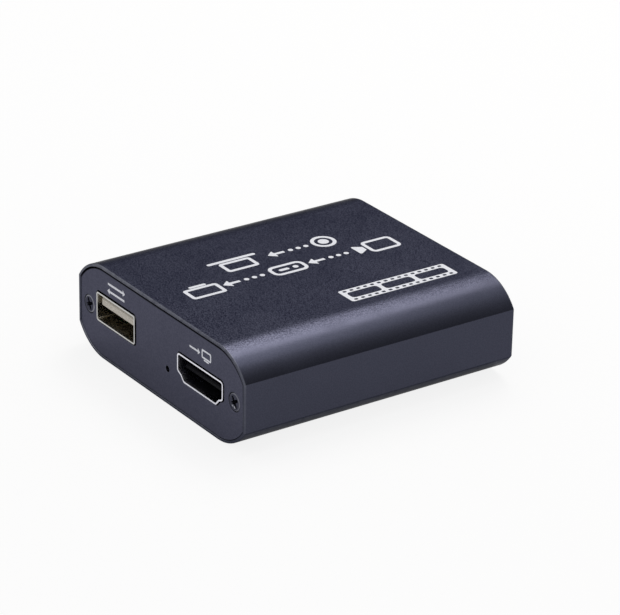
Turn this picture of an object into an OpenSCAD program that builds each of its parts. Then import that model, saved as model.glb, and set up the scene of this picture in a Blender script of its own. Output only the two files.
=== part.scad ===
// Video capture box: an extruded housing closed by two inset end plates, with a circuit board that
// slides in two grooves and carries a data socket, a video output and a video input.
// +X is to the right of the front plate, +Y runs to the rear, +Z is up and z = 0 is the underside.

/* [Housing] */
// Width across the front
body_w = 55; // [54:0.5:64]
// Depth from the front rim to the rear rim
body_d = 58; // [57:0.5:80]
// Height of the housing
body_h = 18.4; // [17.6:0.2:22]
// Radius of the four long rounded edges
edge_r = 10.2; // [9.6:0.1:12]
// Width of each rounded edge, seen from above
edge_run = 8.5; // [7.5:0.1:9]
// Thickness of the housing wall
wall_t = 1.2; // [1:0.05:1.5]
// Thickness of the thin rim around each end plate
rim_t = 0.55; // [0.45:0.05:0.75]

/* [End plates] */
// Thickness of each end plate
plate_t = 1.5; // [1.2:0.1:2]
// Depth of each end plate behind the rim
plate_recess = 0.15; // [0.1:0.05:0.4]
// Mean clearance between an end plate and the rim
plate_gap = 0.2; // [0.16:0.01:0.3]
// Distance by which an end plate rests below the middle of its opening
plate_drop = 0.12; // [0:0.01:0.14]
// Clearance between a socket and its cut-out
cutout_gap = 0.28; // [0.1:0.02:0.4]

/* [Screws] */
// Distance of each screw from the side of the housing
screw_inset = 3.5; // [3.3:0.05:3.8]
// Diameter of the screw's core
screw_d = 1.9; // [1.6:0.05:2.1]
// Length of the screw
screw_len = 7; // [5:0.5:12]
// Diameter of the screw's head
screw_head_d = 3.4; // [3:0.1:3.8]
// Height of the straight edge of the head
screw_head_edge = 0.15; // [0.1:0.05:0.3]
// Depth of the head below the face of the plate
screw_sink = 0.06; // [0.02:0.02:0.2]
// Clearance around the screw
screw_fit = 0.03; // [0.02:0.01:0.06]
// Length of the screw's tapered point
screw_point = 0.8; // [0.5:0.1:1.5]
// Diameter of the screw's tip
screw_tip_d = 1; // [0.6:0.1:1.4]
// Length of each arm pair of the cross recess
cross_l = 2.2; // [1.5:0.1:2.4]
// Width of an arm of the cross recess
cross_w = 0.54; // [0.3:0.02:0.7]
// Depth of the cross recess
cross_depth = 0.6; // [0.4:0.05:0.8]
// Outer diameter of the screw channel in the housing
channel_d = 3.8; // [3.4:0.1:4.2]
// Width of the slit along the screw channel
channel_slit = 0.7; // [0.4:0.1:1]
// Height of the web between the screw channel and the wall
channel_web = 2.4; // [1.6:0.1:3]

/* [Circuit board] */
// Height of the underside of the board
board_z = 4.6; // [4.2:0.1:5]
// Thickness of the board
board_t = 1.6; // [1.2:0.1:1.6]
// Clearance above and below the board in its grooves
board_gap = 0.1; // [0.05:0.05:0.2]
// Clearance between the edge of the board and the wall
board_side_gap = 0.15; // [0.1:0.05:0.3]
// Clearance between the end of the board and an end plate
board_end_gap = 0.3; // [0.1:0.1:0.8]
// Depth to which the board sits in its grooves
groove_bite = 1; // [0.6:0.1:1.4]
// Thickness of the rails that form the grooves
rail_t = 1; // [0.8:0.1:1.4]
// Clearance around a leg or pin in the board
hole_gap = 0.12; // [0.08:0.02:0.2]
// Length of the legs below the board
leg_past = 0.8; // [0.5:0.1:1.5]

/* [Sockets] */
// Distance by which the sockets stand out of the end plates
socket_proud = 0.15; // [0.05:0.05:0.4]
// Thickness of the folded steel
steel_t = 0.3; // [0.25:0.01:0.35]
// Clearance between an insulator and its steel shell
moulding_gap = 0.04; // [0.02:0.01:0.08]

/* [Data socket] */
// Distance of the data socket from the left side of the housing
data_inset = 12.9; // [12.8:0.1:14]
// Height of the steel shell above the board
data_lift = 0.97; // [0.7:0.01:1.2]
// Outer width of the steel shell
data_w = 13.1; // [13:0.05:13.3]
// Outer height of the steel shell
data_h = 5.72; // [5.6:0.02:5.9]
// Outer corner radius of the steel shell
data_corner_r = 0.6; // [0.45:0.05:0.8]
// Length of the steel shell
data_len = 14; // [13:0.1:15]
// Length of the insulator's rear block
data_block_len = 4.2; // [3.6:0.1:4.8]
// Width of the tongue
data_tongue_w = 11.1; // [10.8:0.1:11.4]
// Thickness of the tongue
data_tongue_t = 1.84; // [1.7:0.02:1.95]
// Space between the tongue and the top of the opening
data_tongue_top = 0.66; // [0.6:0.02:0.75]
// Distance of the tongue's tip behind the mouth
data_tongue_set = 0.6; // [0.4:0.1:1.2]
// Lead-in chamfer of the tongue's tip
data_tongue_chamfer = 0.35; // [0.2:0.05:0.5]
// Distance between the two middle contacts
data_pitch_mid = 2; // [1.8:0.1:2.2]
// Distance between a middle contact and the outer one next to it
data_pitch_side = 2.5; // [2.3:0.1:2.7]
// Width of a contact
data_contact_w = 0.9; // [0.7:0.05:1.1]
// Thickness of a contact
data_contact_t = 0.25; // [0.2:0.01:0.3]
// Distance of the contacts' tips behind the tip of the tongue
data_contact_set = 1; // [0.6:0.1:1.6]
// Distance of the contact pins from the rear of the shell
data_pin_back = 1.6; // [1.2:0.1:2]
// Distance of the shell's legs from the rear of the shell
data_leg_back = 2; // [1.6:0.1:3]
// Width of the shell's legs
data_leg_w = 2.4; // [2:0.1:2.8]
// Distance of the spring fingers from the middle of the shell
finger_x = 3; // [2.6:0.1:3.4]
// Distance of the spring fingers behind the mouth
finger_set = 3.4; // [2.8:0.1:3.8]
// Length of a spring finger
finger_l = 5; // [4:0.1:5.4]
// Length of the raised nose at the end of a spring finger
finger_nose = 1; // [0.6:0.1:1.5]
// Width of a spring finger
finger_w = 1.5; // [1.2:0.1:2]
// Width of the cut around a spring finger
finger_gap = 0.4; // [0.3:0.05:0.5]
// Depth to which a spring finger dips into the opening
finger_dip = 0.3; // [0.15:0.05:0.35]

/* [Video sockets] */
// Distance of the video output from the right side of the housing
video_out_inset = 14.1; // [13.6:0.1:15]
// Distance of the video input from the right side of the housing
video_in_inset = 14.1; // [13.6:0.1:15]
// Height of the steel shell above the board
video_lift = 0.25; // [0.1:0.05:0.6]
// Width of the opening
video_w = 14; // [13.9:0.05:14.2]
// Height of the opening
video_h = 4.55; // [4.45:0.05:4.7]
// Width of the narrow side of the opening
video_foot_w = 10.1; // [9.8:0.1:10.6]
// Height of the upright sides' lower ends above the narrow side
video_shoulder_h = 1.5; // [1.3:0.05:1.7]
// Width of the shallow step below each upright side
video_step_w = 1; // [0.6:0.05:1.1]
// Height of the shallow step below each upright side
video_step_h = 0.45; // [0.3:0.05:0.5]
// Inner corner radius of the shell
video_corner_r = 0.4; // [0.35:0.05:0.5]
// Least radius at the foot of the shallow step
video_knee_r = 0.1; // [0.05:0.01:0.15]
// Length of the steel shell
video_len = 11.6; // [11:0.1:12.5]
// Length of the insulator's rear block
video_block_len = 4; // [3.4:0.1:4.6]
// Width of the pedestal under the rear block
video_pedestal_w = 8; // [7:0.1:8.6]
// Width of the tongue
video_tongue_w = 11.6; // [11.2:0.1:12]
// Thickness of the tongue
video_tongue_t = 1; // [0.9:0.05:1.1]
// Space between the tongue and the top of the opening
video_tongue_top = 1.5; // [1.4:0.05:1.6]
// Distance of the tongue's tip behind the mouth
video_tongue_set = 0.9; // [0.6:0.1:1.5]
// Lead-in chamfer of the tongue's tip
video_tongue_chamfer = 0.25; // [0.15:0.05:0.35]
// Number of contacts in the upper row, one more than in the lower row
video_contacts = 10; // [8:1:10]
// Distance between contacts of one row
video_pitch = 1; // [0.9:0.02:1.04]
// Width of a contact
video_contact_w = 0.3; // [0.25:0.01:0.35]
// Thickness of a contact
video_contact_t = 0.15; // [0.12:0.01:0.18]
// Distance of the contacts' tips behind the tip of the tongue
video_contact_set = 0.6; // [0.4:0.1:1]
// Length of the soldered tails
video_tail_l = 1; // [0.8:0.1:1.4]
// Width of the shell's legs
video_leg_w = 1.6; // [1.4:0.1:2]
// Distance of the front legs behind the mouth
video_leg_front = 3.6; // [3.5:0.1:4]
// Distance of the rear legs behind the mouth
video_leg_rear = 9; // [8:0.1:9.5]
// Space between the contacts and the folded rear flap
video_flap_gap = 0.3; // [0.2:0.05:0.5]
// Height of the lower end of the rear flap above the board
video_flap_z = 1.2; // [0.8:0.1:2]

/* [Status lamp] */
// Distance of the lamp from the middle of the front
lamp_x = 2.7; // [2:0.1:3]
// Height of the lamp's axis above the board
lamp_rise = 0.66; // [0.6:0.02:0.8]
// Diameter of the pinhole in front of the lamp
lamp_hole_d = 1.2; // [0.8:0.1:1.6]
// Width of the lamp's body
lamp_w = 3; // [2.6:0.1:3.2]
// Depth of the lamp's body
lamp_d = 1.2; // [1:0.1:1.6]
// Height of the lamp's body
lamp_h = 1.35; // [1.2:0.05:1.6]
// Diameter of the lamp's lens
lamp_lens_d = 0.9; // [0.6:0.1:1]
// Distance by which the lens stands out of the lamp's body
lamp_lens_l = 0.2; // [0.1:0.05:0.3]

/* [Chips] */
// Side of the capture chip
capture_w = 9; // [7:0.5:9.5]
// Height of the capture chip
capture_h = 0.85; // [0.7:0.05:1]
// Side of the loop chip's body
loop_w = 7; // [6:0.5:8]
// Height of the loop chip's body
loop_h = 1.3; // [1:0.1:1.5]
// Number of leads on each side of the loop chip
loop_leads = 12; // [8:1:12]
// Distance between leads of the loop chip
loop_pitch = 0.5; // [0.4:0.05:0.5]
// Width of the memory chip's body
memory_w = 3.9; // [3.5:0.1:4.2]
// Length of the memory chip's body
memory_l = 4.9; // [4.8:0.1:5.5]
// Height of the memory chip's body
memory_h = 1.4; // [1.2:0.1:1.6]
// Number of leads on each side of the memory chip
memory_leads = 4; // [3:1:4]
// Distance between leads of the memory chip
memory_pitch = 1.27; // [1.1:0.01:1.3]
// Length of a lead from the body to its tip
lead_l = 1; // [0.95:0.05:1.2]
// Length of a lead's level part beside the body
lead_out = 0.35; // [0.25:0.05:0.4]
// Length of a lead's foot on the board
lead_foot = 0.5; // [0.3:0.05:0.5]
// Width of a narrow lead
lead_w = 0.22; // [0.15:0.01:0.3]
// Width of a memory lead
memory_lead_w = 0.42; // [0.35:0.01:0.5]
// Thickness of the leads
lead_t = 0.15; // [0.12:0.01:0.2]
// Height of the chip bodies above the board
chip_lift = 0.1; // [0.05:0.01:0.2]
// Diameter of the dimple that marks the first lead
dimple_d = 0.8; // [0.5:0.1:1]
// Depth of that dimple
dimple_depth = 0.08; // [0.04:0.02:0.15]
// Distance of the dimple from the edges of the body
dimple_inset = 0.9; // [0.8:0.1:1.2]

/* [Power parts] */
// Width of a voltage regulator's body
regulator_w = 6.5; // [6:0.1:7]
// Depth of a voltage regulator's body
regulator_d = 3.5; // [3:0.1:3.7]
// Height of a voltage regulator's body
regulator_h = 1.5; // [1.3:0.1:1.8]
// Distance between the leads of a regulator
regulator_pitch = 2.3; // [2.1:0.1:2.4]
// Width of a regulator's lead
regulator_lead_w = 0.7; // [0.5:0.05:0.8]
// Width of a regulator's heat tab
regulator_tab_w = 3; // [2.6:0.1:3.2]
// Distance between the two regulators
regulator_step = 8; // [7.5:0.1:8.4]
// Side of the power inductor
inductor_w = 5; // [4:0.2:5.2]
// Height of the power inductor
inductor_h = 2.8; // [2:0.1:3.4]
// Diameter of the inductor's round core
inductor_core_d = 3.8; // [3:0.1:3.9]
// Width of the gap around the core
inductor_gap = 0.2; // [0.1:0.05:0.3]
// Depth of the gap around the core
inductor_gap_depth = 0.5; // [0.3:0.1:0.8]
// Corner chamfer of the inductor
inductor_chamfer = 0.9; // [0.5:0.1:1]
// Diameter of a bulk capacitor's can
can_d = 5; // [4:0.1:5.4]
// Height of a bulk capacitor above its base
can_h = 4.6; // [4:0.1:6]
// Depth of the crimped groove around the can
can_crimp = 0.2; // [0.1:0.05:0.3]
// Height of the crimped groove above the base
can_crimp_z = 0.8; // [0.6:0.1:1.2]
// Distance by which the base is wider than the can
can_base_past = 0.3; // [0.2:0.05:0.4]
// Height of the base
can_base_h = 0.8; // [0.6:0.1:1]
// Chamfer that marks the positive side of the base
can_base_chamfer = 1; // [0.6:0.1:1.2]
// Distance between the two bulk capacitors
can_step = 6.5; // [6.2:0.1:7]

/* [Clock crystals] */
// Length of the crystal's can
crystal_l = 10.2; // [9.6:0.1:10.6]
// Width of the crystal's can
crystal_w = 3.7; // [3.4:0.1:3.9]
// Height of the crystal's can
crystal_h = 3; // [2.4:0.1:3.6]
// Width of the rim around the foot of the can
crystal_rim = 0.45; // [0.3:0.05:0.6]
// Height of that rim
crystal_rim_h = 0.5; // [0.4:0.05:0.7]

/* [Small parts] */
// Length of a small chip part
chip_l = 1.6; // [1.4:0.1:1.7]
// Width of a small chip part
chip_w = 0.8; // [0.6:0.05:0.9]
// Height of a ceramic capacitor
ceramic_h = 0.8; // [0.6:0.05:0.9]
// Height of a chip resistor
resistor_h = 0.45; // [0.4:0.05:0.5]
// Length of the metal caps at the ends of a small chip part
cap_l = 0.35; // [0.25:0.05:0.4]
// Height by which the metal caps stand out of a small chip part
cap_t = 0.03; // [0.02:0.01:0.05]
// Distance of the ceramic capacitors from the leads of a chip
ceramic_gap = 1.2; // [1:0.1:1.5]
// Distance of each ceramic capacitor from the middle of the chip's side
ceramic_step = 2.2; // [1.8:0.1:2.6]
// Number of resistors in the row behind each video socket
resistor_count = 8; // [5:1:8]
// Distance between resistors of a row
resistor_step = 1.5; // [1.3:0.1:1.6]
// Distance of the resistors behind the surge arrays
resistor_back = 2.1; // [1.8:0.1:2.4]
// Length of a surge array
surge_l = 2.5; // [2.2:0.1:2.7]
// Width of a surge array
surge_w = 1; // [0.8:0.05:1.1]
// Height of a surge array
surge_h = 0.55; // [0.5:0.05:0.7]
// Number of surge arrays in the row behind each video socket
surge_count = 4; // [3:1:4]
// Distance between surge arrays of a row
surge_step = 3; // [2.8:0.1:3.2]
// Distance of the surge arrays behind the tails of the socket
surge_back = 1; // [0.8:0.1:1.4]

/* [Board layout] */
// Distance of the capture chip from the middle of the data socket
capture_shift = 1.5; // [1:0.1:2]
// Clearance between the first crystal and the capacitors of the capture chip in front of it
capture_gap = 2; // [1.6:0.1:2.4]
// Distance of the memory chip left of the middle of the board
memory_x = 3.2; // [2.8:0.1:3.4]
// Distance of the memory chip behind the front end of the board
memory_back = 14; // [11:0.1:14]
// Clearance between the bulk capacitors and the first crystal in front of them
crystal_gap = 1.4; // [1:0.1:1.8]
// Distance of the second crystal right of the middle of the board
crystal_x = 2; // [1.6:0.1:2.2]
// Distance of the second crystal behind the middle of the board
crystal_y = 3; // [1:0.1:5]
// Clearance between the leads of the regulators and the bulk capacitors in front of them
can_gap = 1.8; // [1.4:0.1:2.2]
// Distance of the regulators in front of the rear end of the board
regulator_front = 5; // [4:0.1:5.4]

/* [Hidden] */
$fn = 64;
// Overrun of a cut past the surface that it opens
over = 1;
// Number of steps in a worked-out corner arc
arc_steps = 5;

// Housing
flat_half = body_w / 2 - edge_run;
rebate = plate_recess + plate_t;
screw_x = body_w / 2 - screw_inset;
screw_z = body_h / 2;
screw_cone_z = screw_sink + screw_head_edge + (screw_head_d - screw_d) / 2;
plate_y = body_d / 2 - plate_recess;

// Board, as wide as the curved wall lets it be at its underside
board_top = board_z + board_t;
inner_r = edge_r - wall_t;
arc_half = flat_half + sqrt(pow(inner_r, 2) - pow(edge_r - board_z, 2));
board_half = min(body_w / 2 - wall_t, arc_half) - board_side_gap;
board_end = body_d / 2 - rebate - board_end_gap;
rail_x = board_half - groove_bite;
leg_bottom = -board_t - leg_past;

// Sockets
mouth_y = plate_y + socket_proud;
data_x = data_inset - body_w / 2;
video_out_x = body_w / 2 - video_out_inset;
video_in_x = body_w / 2 - video_in_inset;
data_mid_z = data_lift + data_h / 2;
data_block_y = data_len - data_block_len;
data_tongue_z = data_lift + data_h - steel_t - data_tongue_top - data_tongue_t;
data_pin_y = data_len - data_pin_back;
data_leg_y = data_len - data_leg_back - data_leg_w;
data_outer = data_pitch_mid / 2 + data_pitch_side;
data_contact_x = [-data_outer, -data_pitch_mid / 2, data_pitch_mid / 2, data_outer];
video_z = video_lift + steel_t;
video_block_y = video_len - video_block_len;
video_tongue_z = video_z + video_h - video_tongue_top - video_tongue_t;
video_leg_ys = [video_leg_front, video_leg_rear];

// Left part of the board, laid out from its rear end to the front
capture_x = data_x + capture_shift;
can_half = can_d / 2 + can_base_past;
crystal_half = crystal_w / 2 + crystal_rim;
capture_half = capture_w / 2 + ceramic_gap + chip_w / 2;
regulator_y = board_end - regulator_front;
can_y = regulator_y - regulator_d / 2 - lead_l - can_gap - can_half;
capture_crystal_y = can_y - can_half - crystal_gap - crystal_half;
capture_y = capture_crystal_y - crystal_half - capture_gap - capture_half;

// The inductor lies midway between the regulators and the video input
regulator_side = capture_x + regulator_step / 2 + regulator_w / 2;
inductor_x = (regulator_side + video_in_x - video_w / 2 - steel_t) / 2;

// Right part of the board, behind each video socket
surge_y = mouth_y - video_len - video_contact_t - video_tail_l - surge_back;
resistor_y = surge_y - resistor_back;

// Vectors and outlines

function unit(v) = v / norm(v);
function turned(v) = [-v[1], v[0]];

// The outline of a bent strip of even thickness t along the points p
function strip_side(p, i) = let (
    before = unit(p[max(i, 1)] - p[max(i, 1) - 1]),
    after = unit(p[min(i, len(p) - 2) + 1] - p[min(i, len(p) - 2)]),
    side = unit(turned(before) + turned(after))
) side / (side * turned(before));
function strip(p, t) = concat(
    [for (i = [0:len(p) - 1]) p[i] + strip_side(p, i) * t / 2],
    [for (i = [len(p) - 1:-1:0]) p[i] - strip_side(p, i) * t / 2]
);

// A closed outline p moved outwards by the distance g
function moved_corner(before, corner, after, g) = let (
    a = -turned(unit(corner - before)),
    b = -turned(unit(after - corner)),
    side = unit(a + b)
) corner + side * g / (side * a);
function moved(p, g) = let (n = len(p))
    [for (i = [0:n - 1]) moved_corner(p[(i + n - 1) % n], p[i], p[(i + 1) % n], g)];

// A closed outline p with each corner rounded by the radius that r holds for it
function arc_corner(before, corner, after, r) = let (
    u = unit(before - corner),
    v = unit(after - corner),
    half = acos(u * v) / 2,
    centre = corner + unit(u + v) * r / sin(half),
    first = corner + u * r / tan(half) - centre,
    start = atan2(first[1], first[0]),
    last = corner + v * r / tan(half) - centre,
    sweep = atan2(first[0] * last[1] - first[1] * last[0], first * last)
) [for (k = [0:arc_steps]) let (a = start + sweep * k / arc_steps) centre + r * [cos(a), sin(a)]];
function rounded(p, r) = let (n = len(p))
    [for (i = [0:n - 1]) each arc_corner(p[(i + n - 1) % n], p[i], p[(i + 1) % n], r[i])];

// The opening of a video socket, grown by g, with its narrow side on the line z = -g
function video_outline(g) = let (
    side = video_w / 2,
    foot = video_foot_w / 2,
    knee = [side - video_step_w, video_shoulder_h - video_step_h],
    half = [[foot, 0], knee, [side, video_shoulder_h], [side, video_h]],
    loop = concat(half, [for (i = [len(half) - 1:-1:0]) [-half[i][0], half[i][1]]]),
    round_out = video_corner_r + g,
    round_in = max(video_corner_r - g, video_knee_r),
    radii = [round_out, round_in, round_out, round_out]
) rounded(moved(loop, g), concat(radii, [for (i = [3:-1:0]) radii[i]]));

// Placing

// Stands a flat outline up in the XZ plane and carries it from y along the length l
module along_y(y, l) {
    translate([0, y + l, 0])
        rotate([90, 0, 0])
            linear_extrude(l)
                children();
}

// Carries a flat outline of the YZ plane across the width w, centred on x = 0
module across_x(w) {
    rotate([90, 0, 90])
        linear_extrude(w, center = true)
            children();
}

module rounded_rectangle(w, h, r) {
    square([w - 2 * r, h], center = true);
    square([w, h - 2 * r], center = true);
    for (x = [-1, 1], y = [-1, 1])
        translate([x * (w / 2 - r), y * (h / 2 - r)])
            circle(r);
}

module stadium(l, w) {
    square([l - w, w], center = true);
    for (side = [-1, 1])
        translate([side * (l - w) / 2, 0])
            circle(d = w);
}

// Frames of the sockets: y = 0 is the mouth, +y runs into the housing, z = 0 is the top of the board
module at_front(x) {
    translate([x, -mouth_y, board_top])
        children();
}

module at_rear(x) {
    translate([x, mouth_y, board_top])
        rotate([0, 0, 180])
            children();
}

module on_board(x, y, turn = 0) {
    translate([x, y, board_top])
        rotate([0, 0, turn])
            children();
}

// Frames of the screws: y = 0 is the outer face of the plate, +y runs into the housing
module at_front_screws() {
    for (side = [-1, 1])
        translate([side * screw_x, -plate_y, screw_z])
            rotate([-90, 0, 0])
                children();
}

module to_rear() {
    rotate([0, 0, 180])
        children();
}

// Housing

// All that lies under the flat top and the two upper arcs, drawn in by the distance d
module under_arch(d) {
    translate([-flat_half, -body_h])
        square([2 * flat_half, 2 * body_h - d]);
    for (side = [-1, 1])
        translate([side * flat_half, body_h - edge_r]) {
            circle(edge_r - d);
            translate([d - edge_r, -body_h])
                square([2 * (edge_r - d), body_h]);
        }
}

// The housing's outline, drawn in by the distance d
module section(d) {
    intersection() {
        under_arch(d);
        translate([0, body_h])
            mirror([0, 1])
                under_arch(d);
        translate([d - body_w / 2, 0])
            square([body_w - 2 * d, body_h]);
    }
}

// Screw channel, its web and the two board rails, on the right side
module side_ribs() {
    translate([screw_x, screw_z])
        circle(d = channel_d);
    translate([screw_x, screw_z - channel_web / 2])
        square([screw_inset, channel_web]);
    translate([rail_x, board_top + board_gap])
        square([body_w / 2 - rail_x, rail_t]);
    translate([rail_x, board_z - board_gap - rail_t])
        square([body_w / 2 - rail_x, rail_t]);
}

module channel_bore() {
    translate([screw_x, screw_z]) {
        circle(d = screw_d + 2 * screw_fit);
        translate([-channel_d, -channel_slit / 2])
            square([channel_d, channel_slit]);
    }
}

module housing_section() {
    difference() {
        section(0);
        difference() {
            section(wall_t);
            for (side = [0, 1])
                mirror([side, 0])
                    side_ribs();
        }
        for (side = [0, 1])
            mirror([side, 0])
                channel_bore();
    }
}

module housing_shell() {
    color("#3a3c49")
        difference() {
            along_y(-body_d / 2, body_d)
                housing_section();
            for (end = [0, 1])
                mirror([0, end, 0])
                    along_y(-body_d / 2 - over, rebate + over)
                        section(rim_t);
        }
}

// End plates and screws

// A screw's axis is +z, and the plate's face is z = 0
module screw_body() {
    rotate_extrude()
        polygon([
            [0, screw_sink],
            [screw_head_d / 2, screw_sink],
            [screw_head_d / 2, screw_sink + screw_head_edge],
            [screw_d / 2, screw_cone_z],
            [screw_d / 2, screw_len - screw_point],
            [screw_tip_d / 2, screw_len],
            [0, screw_len]
        ]);
}

module screw_hole() {
    rotate_extrude()
        polygon([
            [0, -over],
            [screw_head_d / 2 + screw_fit, -over],
            [screw_head_d / 2 + screw_fit, screw_sink + screw_head_edge],
            [screw_d / 2 + screw_fit, screw_cone_z],
            [screw_d / 2 + screw_fit, plate_t + over],
            [0, plate_t + over]
        ]);
}

module screw() {
    difference() {
        screw_body();
        for (turn = [0, 90])
            rotate([0, 0, turn])
                translate([-cross_l / 2, -cross_w / 2, 0])
                    cube([cross_l, cross_w, screw_sink + cross_depth]);
    }
}

module plate_blank() {
    difference() {
        along_y(-plate_y, plate_t)
            translate([0, -plate_drop])
                section(rim_t + plate_gap);
        at_front_screws()
            screw_hole();
    }
}

module front_plate() {
    color("#45474f")
        difference() {
            plate_blank();
            at_front(data_x)
                along_y(-over, rebate + 2 * over)
                    data_section(cutout_gap);
            at_front(video_out_x)
                along_y(-over, rebate + 2 * over)
                    video_section(steel_t + cutout_gap);
            translate([lamp_x, -plate_y, board_top + lamp_rise])
                rotate([-90, 0, 0])
                    translate([0, 0, -over])
                        cylinder(d = lamp_hole_d, h = plate_t + 2 * over);
        }
}

module rear_plate() {
    color("#45474f")
        difference() {
            to_rear()
                plate_blank();
            at_rear(video_in_x)
                along_y(-over, rebate + 2 * over)
                    video_section(steel_t + cutout_gap);
        }
}

module front_screws() {
    color("#1c1c1f")
        at_front_screws()
            screw();
}

module rear_screws() {
    color("#1c1c1f")
        to_rear()
            at_front_screws()
                screw();
}

// Circuit board

module leg_slot(x, y, w) {
    translate([x - steel_t / 2 - hole_gap, y - hole_gap, -board_t - over])
        cube([steel_t + 2 * hole_gap, w + 2 * hole_gap, board_t + 2 * over]);
}

module data_holes() {
    for (side = [-1, 1])
        leg_slot(side * (data_w - steel_t) / 2, data_leg_y, data_leg_w);
    for (x = data_contact_x)
        translate([x, data_pin_y, -board_t - over])
            cylinder(d = norm([data_contact_w, data_contact_t]) + 2 * hole_gap, h = board_t + 2 * over);
}

module video_holes() {
    for (side = [-1, 1], y = video_leg_ys)
        leg_slot(side * (video_w + steel_t) / 2, y, video_leg_w);
}

module circuit_board() {
    color("#1d4a35")
        difference() {
            translate([-board_half, -board_end, board_z])
                cube([2 * board_half, 2 * board_end, board_t]);
            at_front(data_x)
                data_holes();
            at_front(video_out_x)
                video_holes();
            at_rear(video_in_x)
                video_holes();
        }
}

// Data socket

module data_section(g) {
    translate([0, data_mid_z])
        rounded_rectangle(data_w + 2 * g, data_h + 2 * g, data_corner_r + g);
}

// The cut around the spring fingers in the top of the shell
module finger_cut() {
    for (side = [-1, 1])
        translate([side * finger_x - finger_w / 2 - finger_gap, finger_set - finger_gap, -over])
            cube([finger_w + 2 * finger_gap, finger_l + finger_gap, 2 * over]);
}

// The spring fingers, with z = 0 in the middle of the steel
module fingers() {
    for (side = [-1, 1])
        translate([side * finger_x, 0, 0])
            across_x(finger_w)
                polygon(strip([
                    [finger_set, -finger_dip / 2],
                    [finger_set + finger_nose, -finger_dip],
                    [finger_set + finger_l, 0],
                    [finger_set + finger_l + finger_gap, 0]
                ], steel_t));
}

// Puts z = 0 in the middle of the steel at the top of the shell, and a mirrored copy at the bottom
module at_top_and_bottom() {
    for (end = [0, 1])
        translate([0, 0, data_mid_z])
            mirror([0, 0, end])
                translate([0, 0, (data_h - steel_t) / 2])
                    children();
}

module data_socket_shell() {
    inner_half = data_w / 2 - steel_t;
    color("#c9cbd0")
        at_front(data_x) {
            difference() {
                along_y(0, data_len)
                    difference() {
                        data_section(0);
                        data_section(-steel_t);
                    }
                translate([-inner_half, data_block_y - moulding_gap, 0])
                    cube([2 * inner_half, data_block_len + over, data_lift + steel_t + moulding_gap]);
                at_top_and_bottom()
                    finger_cut();
            }
            at_top_and_bottom()
                fingers();
            for (side = [-1, 1])
                translate([side * (data_w - steel_t) / 2 - steel_t / 2, data_leg_y, leg_bottom])
                    cube([steel_t, data_leg_w, data_mid_z - leg_bottom]);
        }
}

module data_contact_strips() {
    z = data_tongue_z - data_contact_t / 2;
    for (x = data_contact_x)
        translate([x, 0, 0])
            across_x(data_contact_w)
                polygon(strip([
                    [data_tongue_set + data_contact_set, z],
                    [data_pin_y, z],
                    [data_pin_y, leg_bottom]
                ], data_contact_t));
}

module data_socket_tongue() {
    block_half = data_w / 2 - steel_t - moulding_gap;
    tip = data_tongue_set;
    low = data_tongue_z;
    high = data_tongue_z + data_tongue_t;
    color("#e6e0cd")
        at_front(data_x)
            difference() {
                union() {
                    along_y(data_block_y, data_block_len)
                        data_section(-steel_t - moulding_gap);
                    translate([-block_half, data_block_y, 0])
                        cube([2 * block_half, data_block_len, data_mid_z]);
                    across_x(data_tongue_w)
                        polygon([
                            [tip, low + data_tongue_chamfer],
                            [tip + data_tongue_chamfer, low],
                            [data_len - data_block_len / 2, low],
                            [data_len - data_block_len / 2, high],
                            [tip + data_tongue_chamfer, high],
                            [tip, high - data_tongue_chamfer]
                        ]);
                }
                data_contact_strips();
            }
}

module data_socket_contacts() {
    color("#d8b45a")
        at_front(data_x)
            data_contact_strips();
}

// Video sockets

module video_section(g) {
    translate([0, video_z])
        polygon(video_outline(g));
}

module video_shell_form() {
    top = video_z + video_h + steel_t / 2;
    flap_y = video_len + video_contact_t + video_flap_gap + steel_t / 2;
    leg_top = video_z + video_h - video_corner_r;
    difference() {
        along_y(0, video_len)
            difference() {
                video_section(steel_t);
                video_section(0);
            }
        translate([-video_pedestal_w / 2 - moulding_gap, video_block_y - moulding_gap, 0])
            cube([video_pedestal_w + 2 * moulding_gap, video_block_len + over, video_z + moulding_gap]);
    }
    across_x(video_w - 2 * video_corner_r)
        polygon(strip([[video_block_y, top], [flap_y, top], [flap_y, video_flap_z]], steel_t));
    for (side = [-1, 1], y = video_leg_ys)
        translate([side * (video_w + steel_t) / 2 - steel_t / 2, y, leg_bottom])
            cube([steel_t, video_leg_w, leg_top - leg_bottom]);
}

// One row of n contacts at the height z, which drop behind the rear block to tails on the board
module video_contact_row(n, z) {
    drop_y = video_len + video_contact_t / 2;
    foot_z = video_contact_t / 2;
    for (i = [0:n - 1])
        translate([(i - (n - 1) / 2) * video_pitch, 0, 0])
            across_x(video_contact_w)
                polygon(strip([
                    [video_tongue_set + video_contact_set, z],
                    [drop_y, z],
                    [drop_y, foot_z],
                    [drop_y + video_tail_l, foot_z]
                ], video_contact_t));
}

module video_contact_strips() {
    video_contact_row(video_contacts, video_tongue_z + video_tongue_t + video_contact_t / 2);
    video_contact_row(video_contacts - 1, video_tongue_z - video_contact_t / 2);
}

module video_tongue_form() {
    tip = video_tongue_set;
    low = video_tongue_z;
    high = video_tongue_z + video_tongue_t;
    difference() {
        union() {
            along_y(video_block_y, video_block_len)
                video_section(-moulding_gap);
            translate([-video_pedestal_w / 2, video_block_y, 0])
                cube([video_pedestal_w, video_block_len, video_z + video_h / 2]);
            across_x(video_tongue_w)
                polygon([
                    [tip, low + video_tongue_chamfer],
                    [tip + video_tongue_chamfer, low],
                    [video_len - video_block_len / 2, low],
                    [video_len - video_block_len / 2, high],
                    [tip + video_tongue_chamfer, high],
                    [tip, high - video_tongue_chamfer]
                ]);
        }
        video_contact_strips();
    }
}

module video_out_shell() {
    color("#c9cbd0")
        at_front(video_out_x)
            video_shell_form();
}

module video_out_tongue() {
    color("#1a1a1c")
        at_front(video_out_x)
            video_tongue_form();
}

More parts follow.
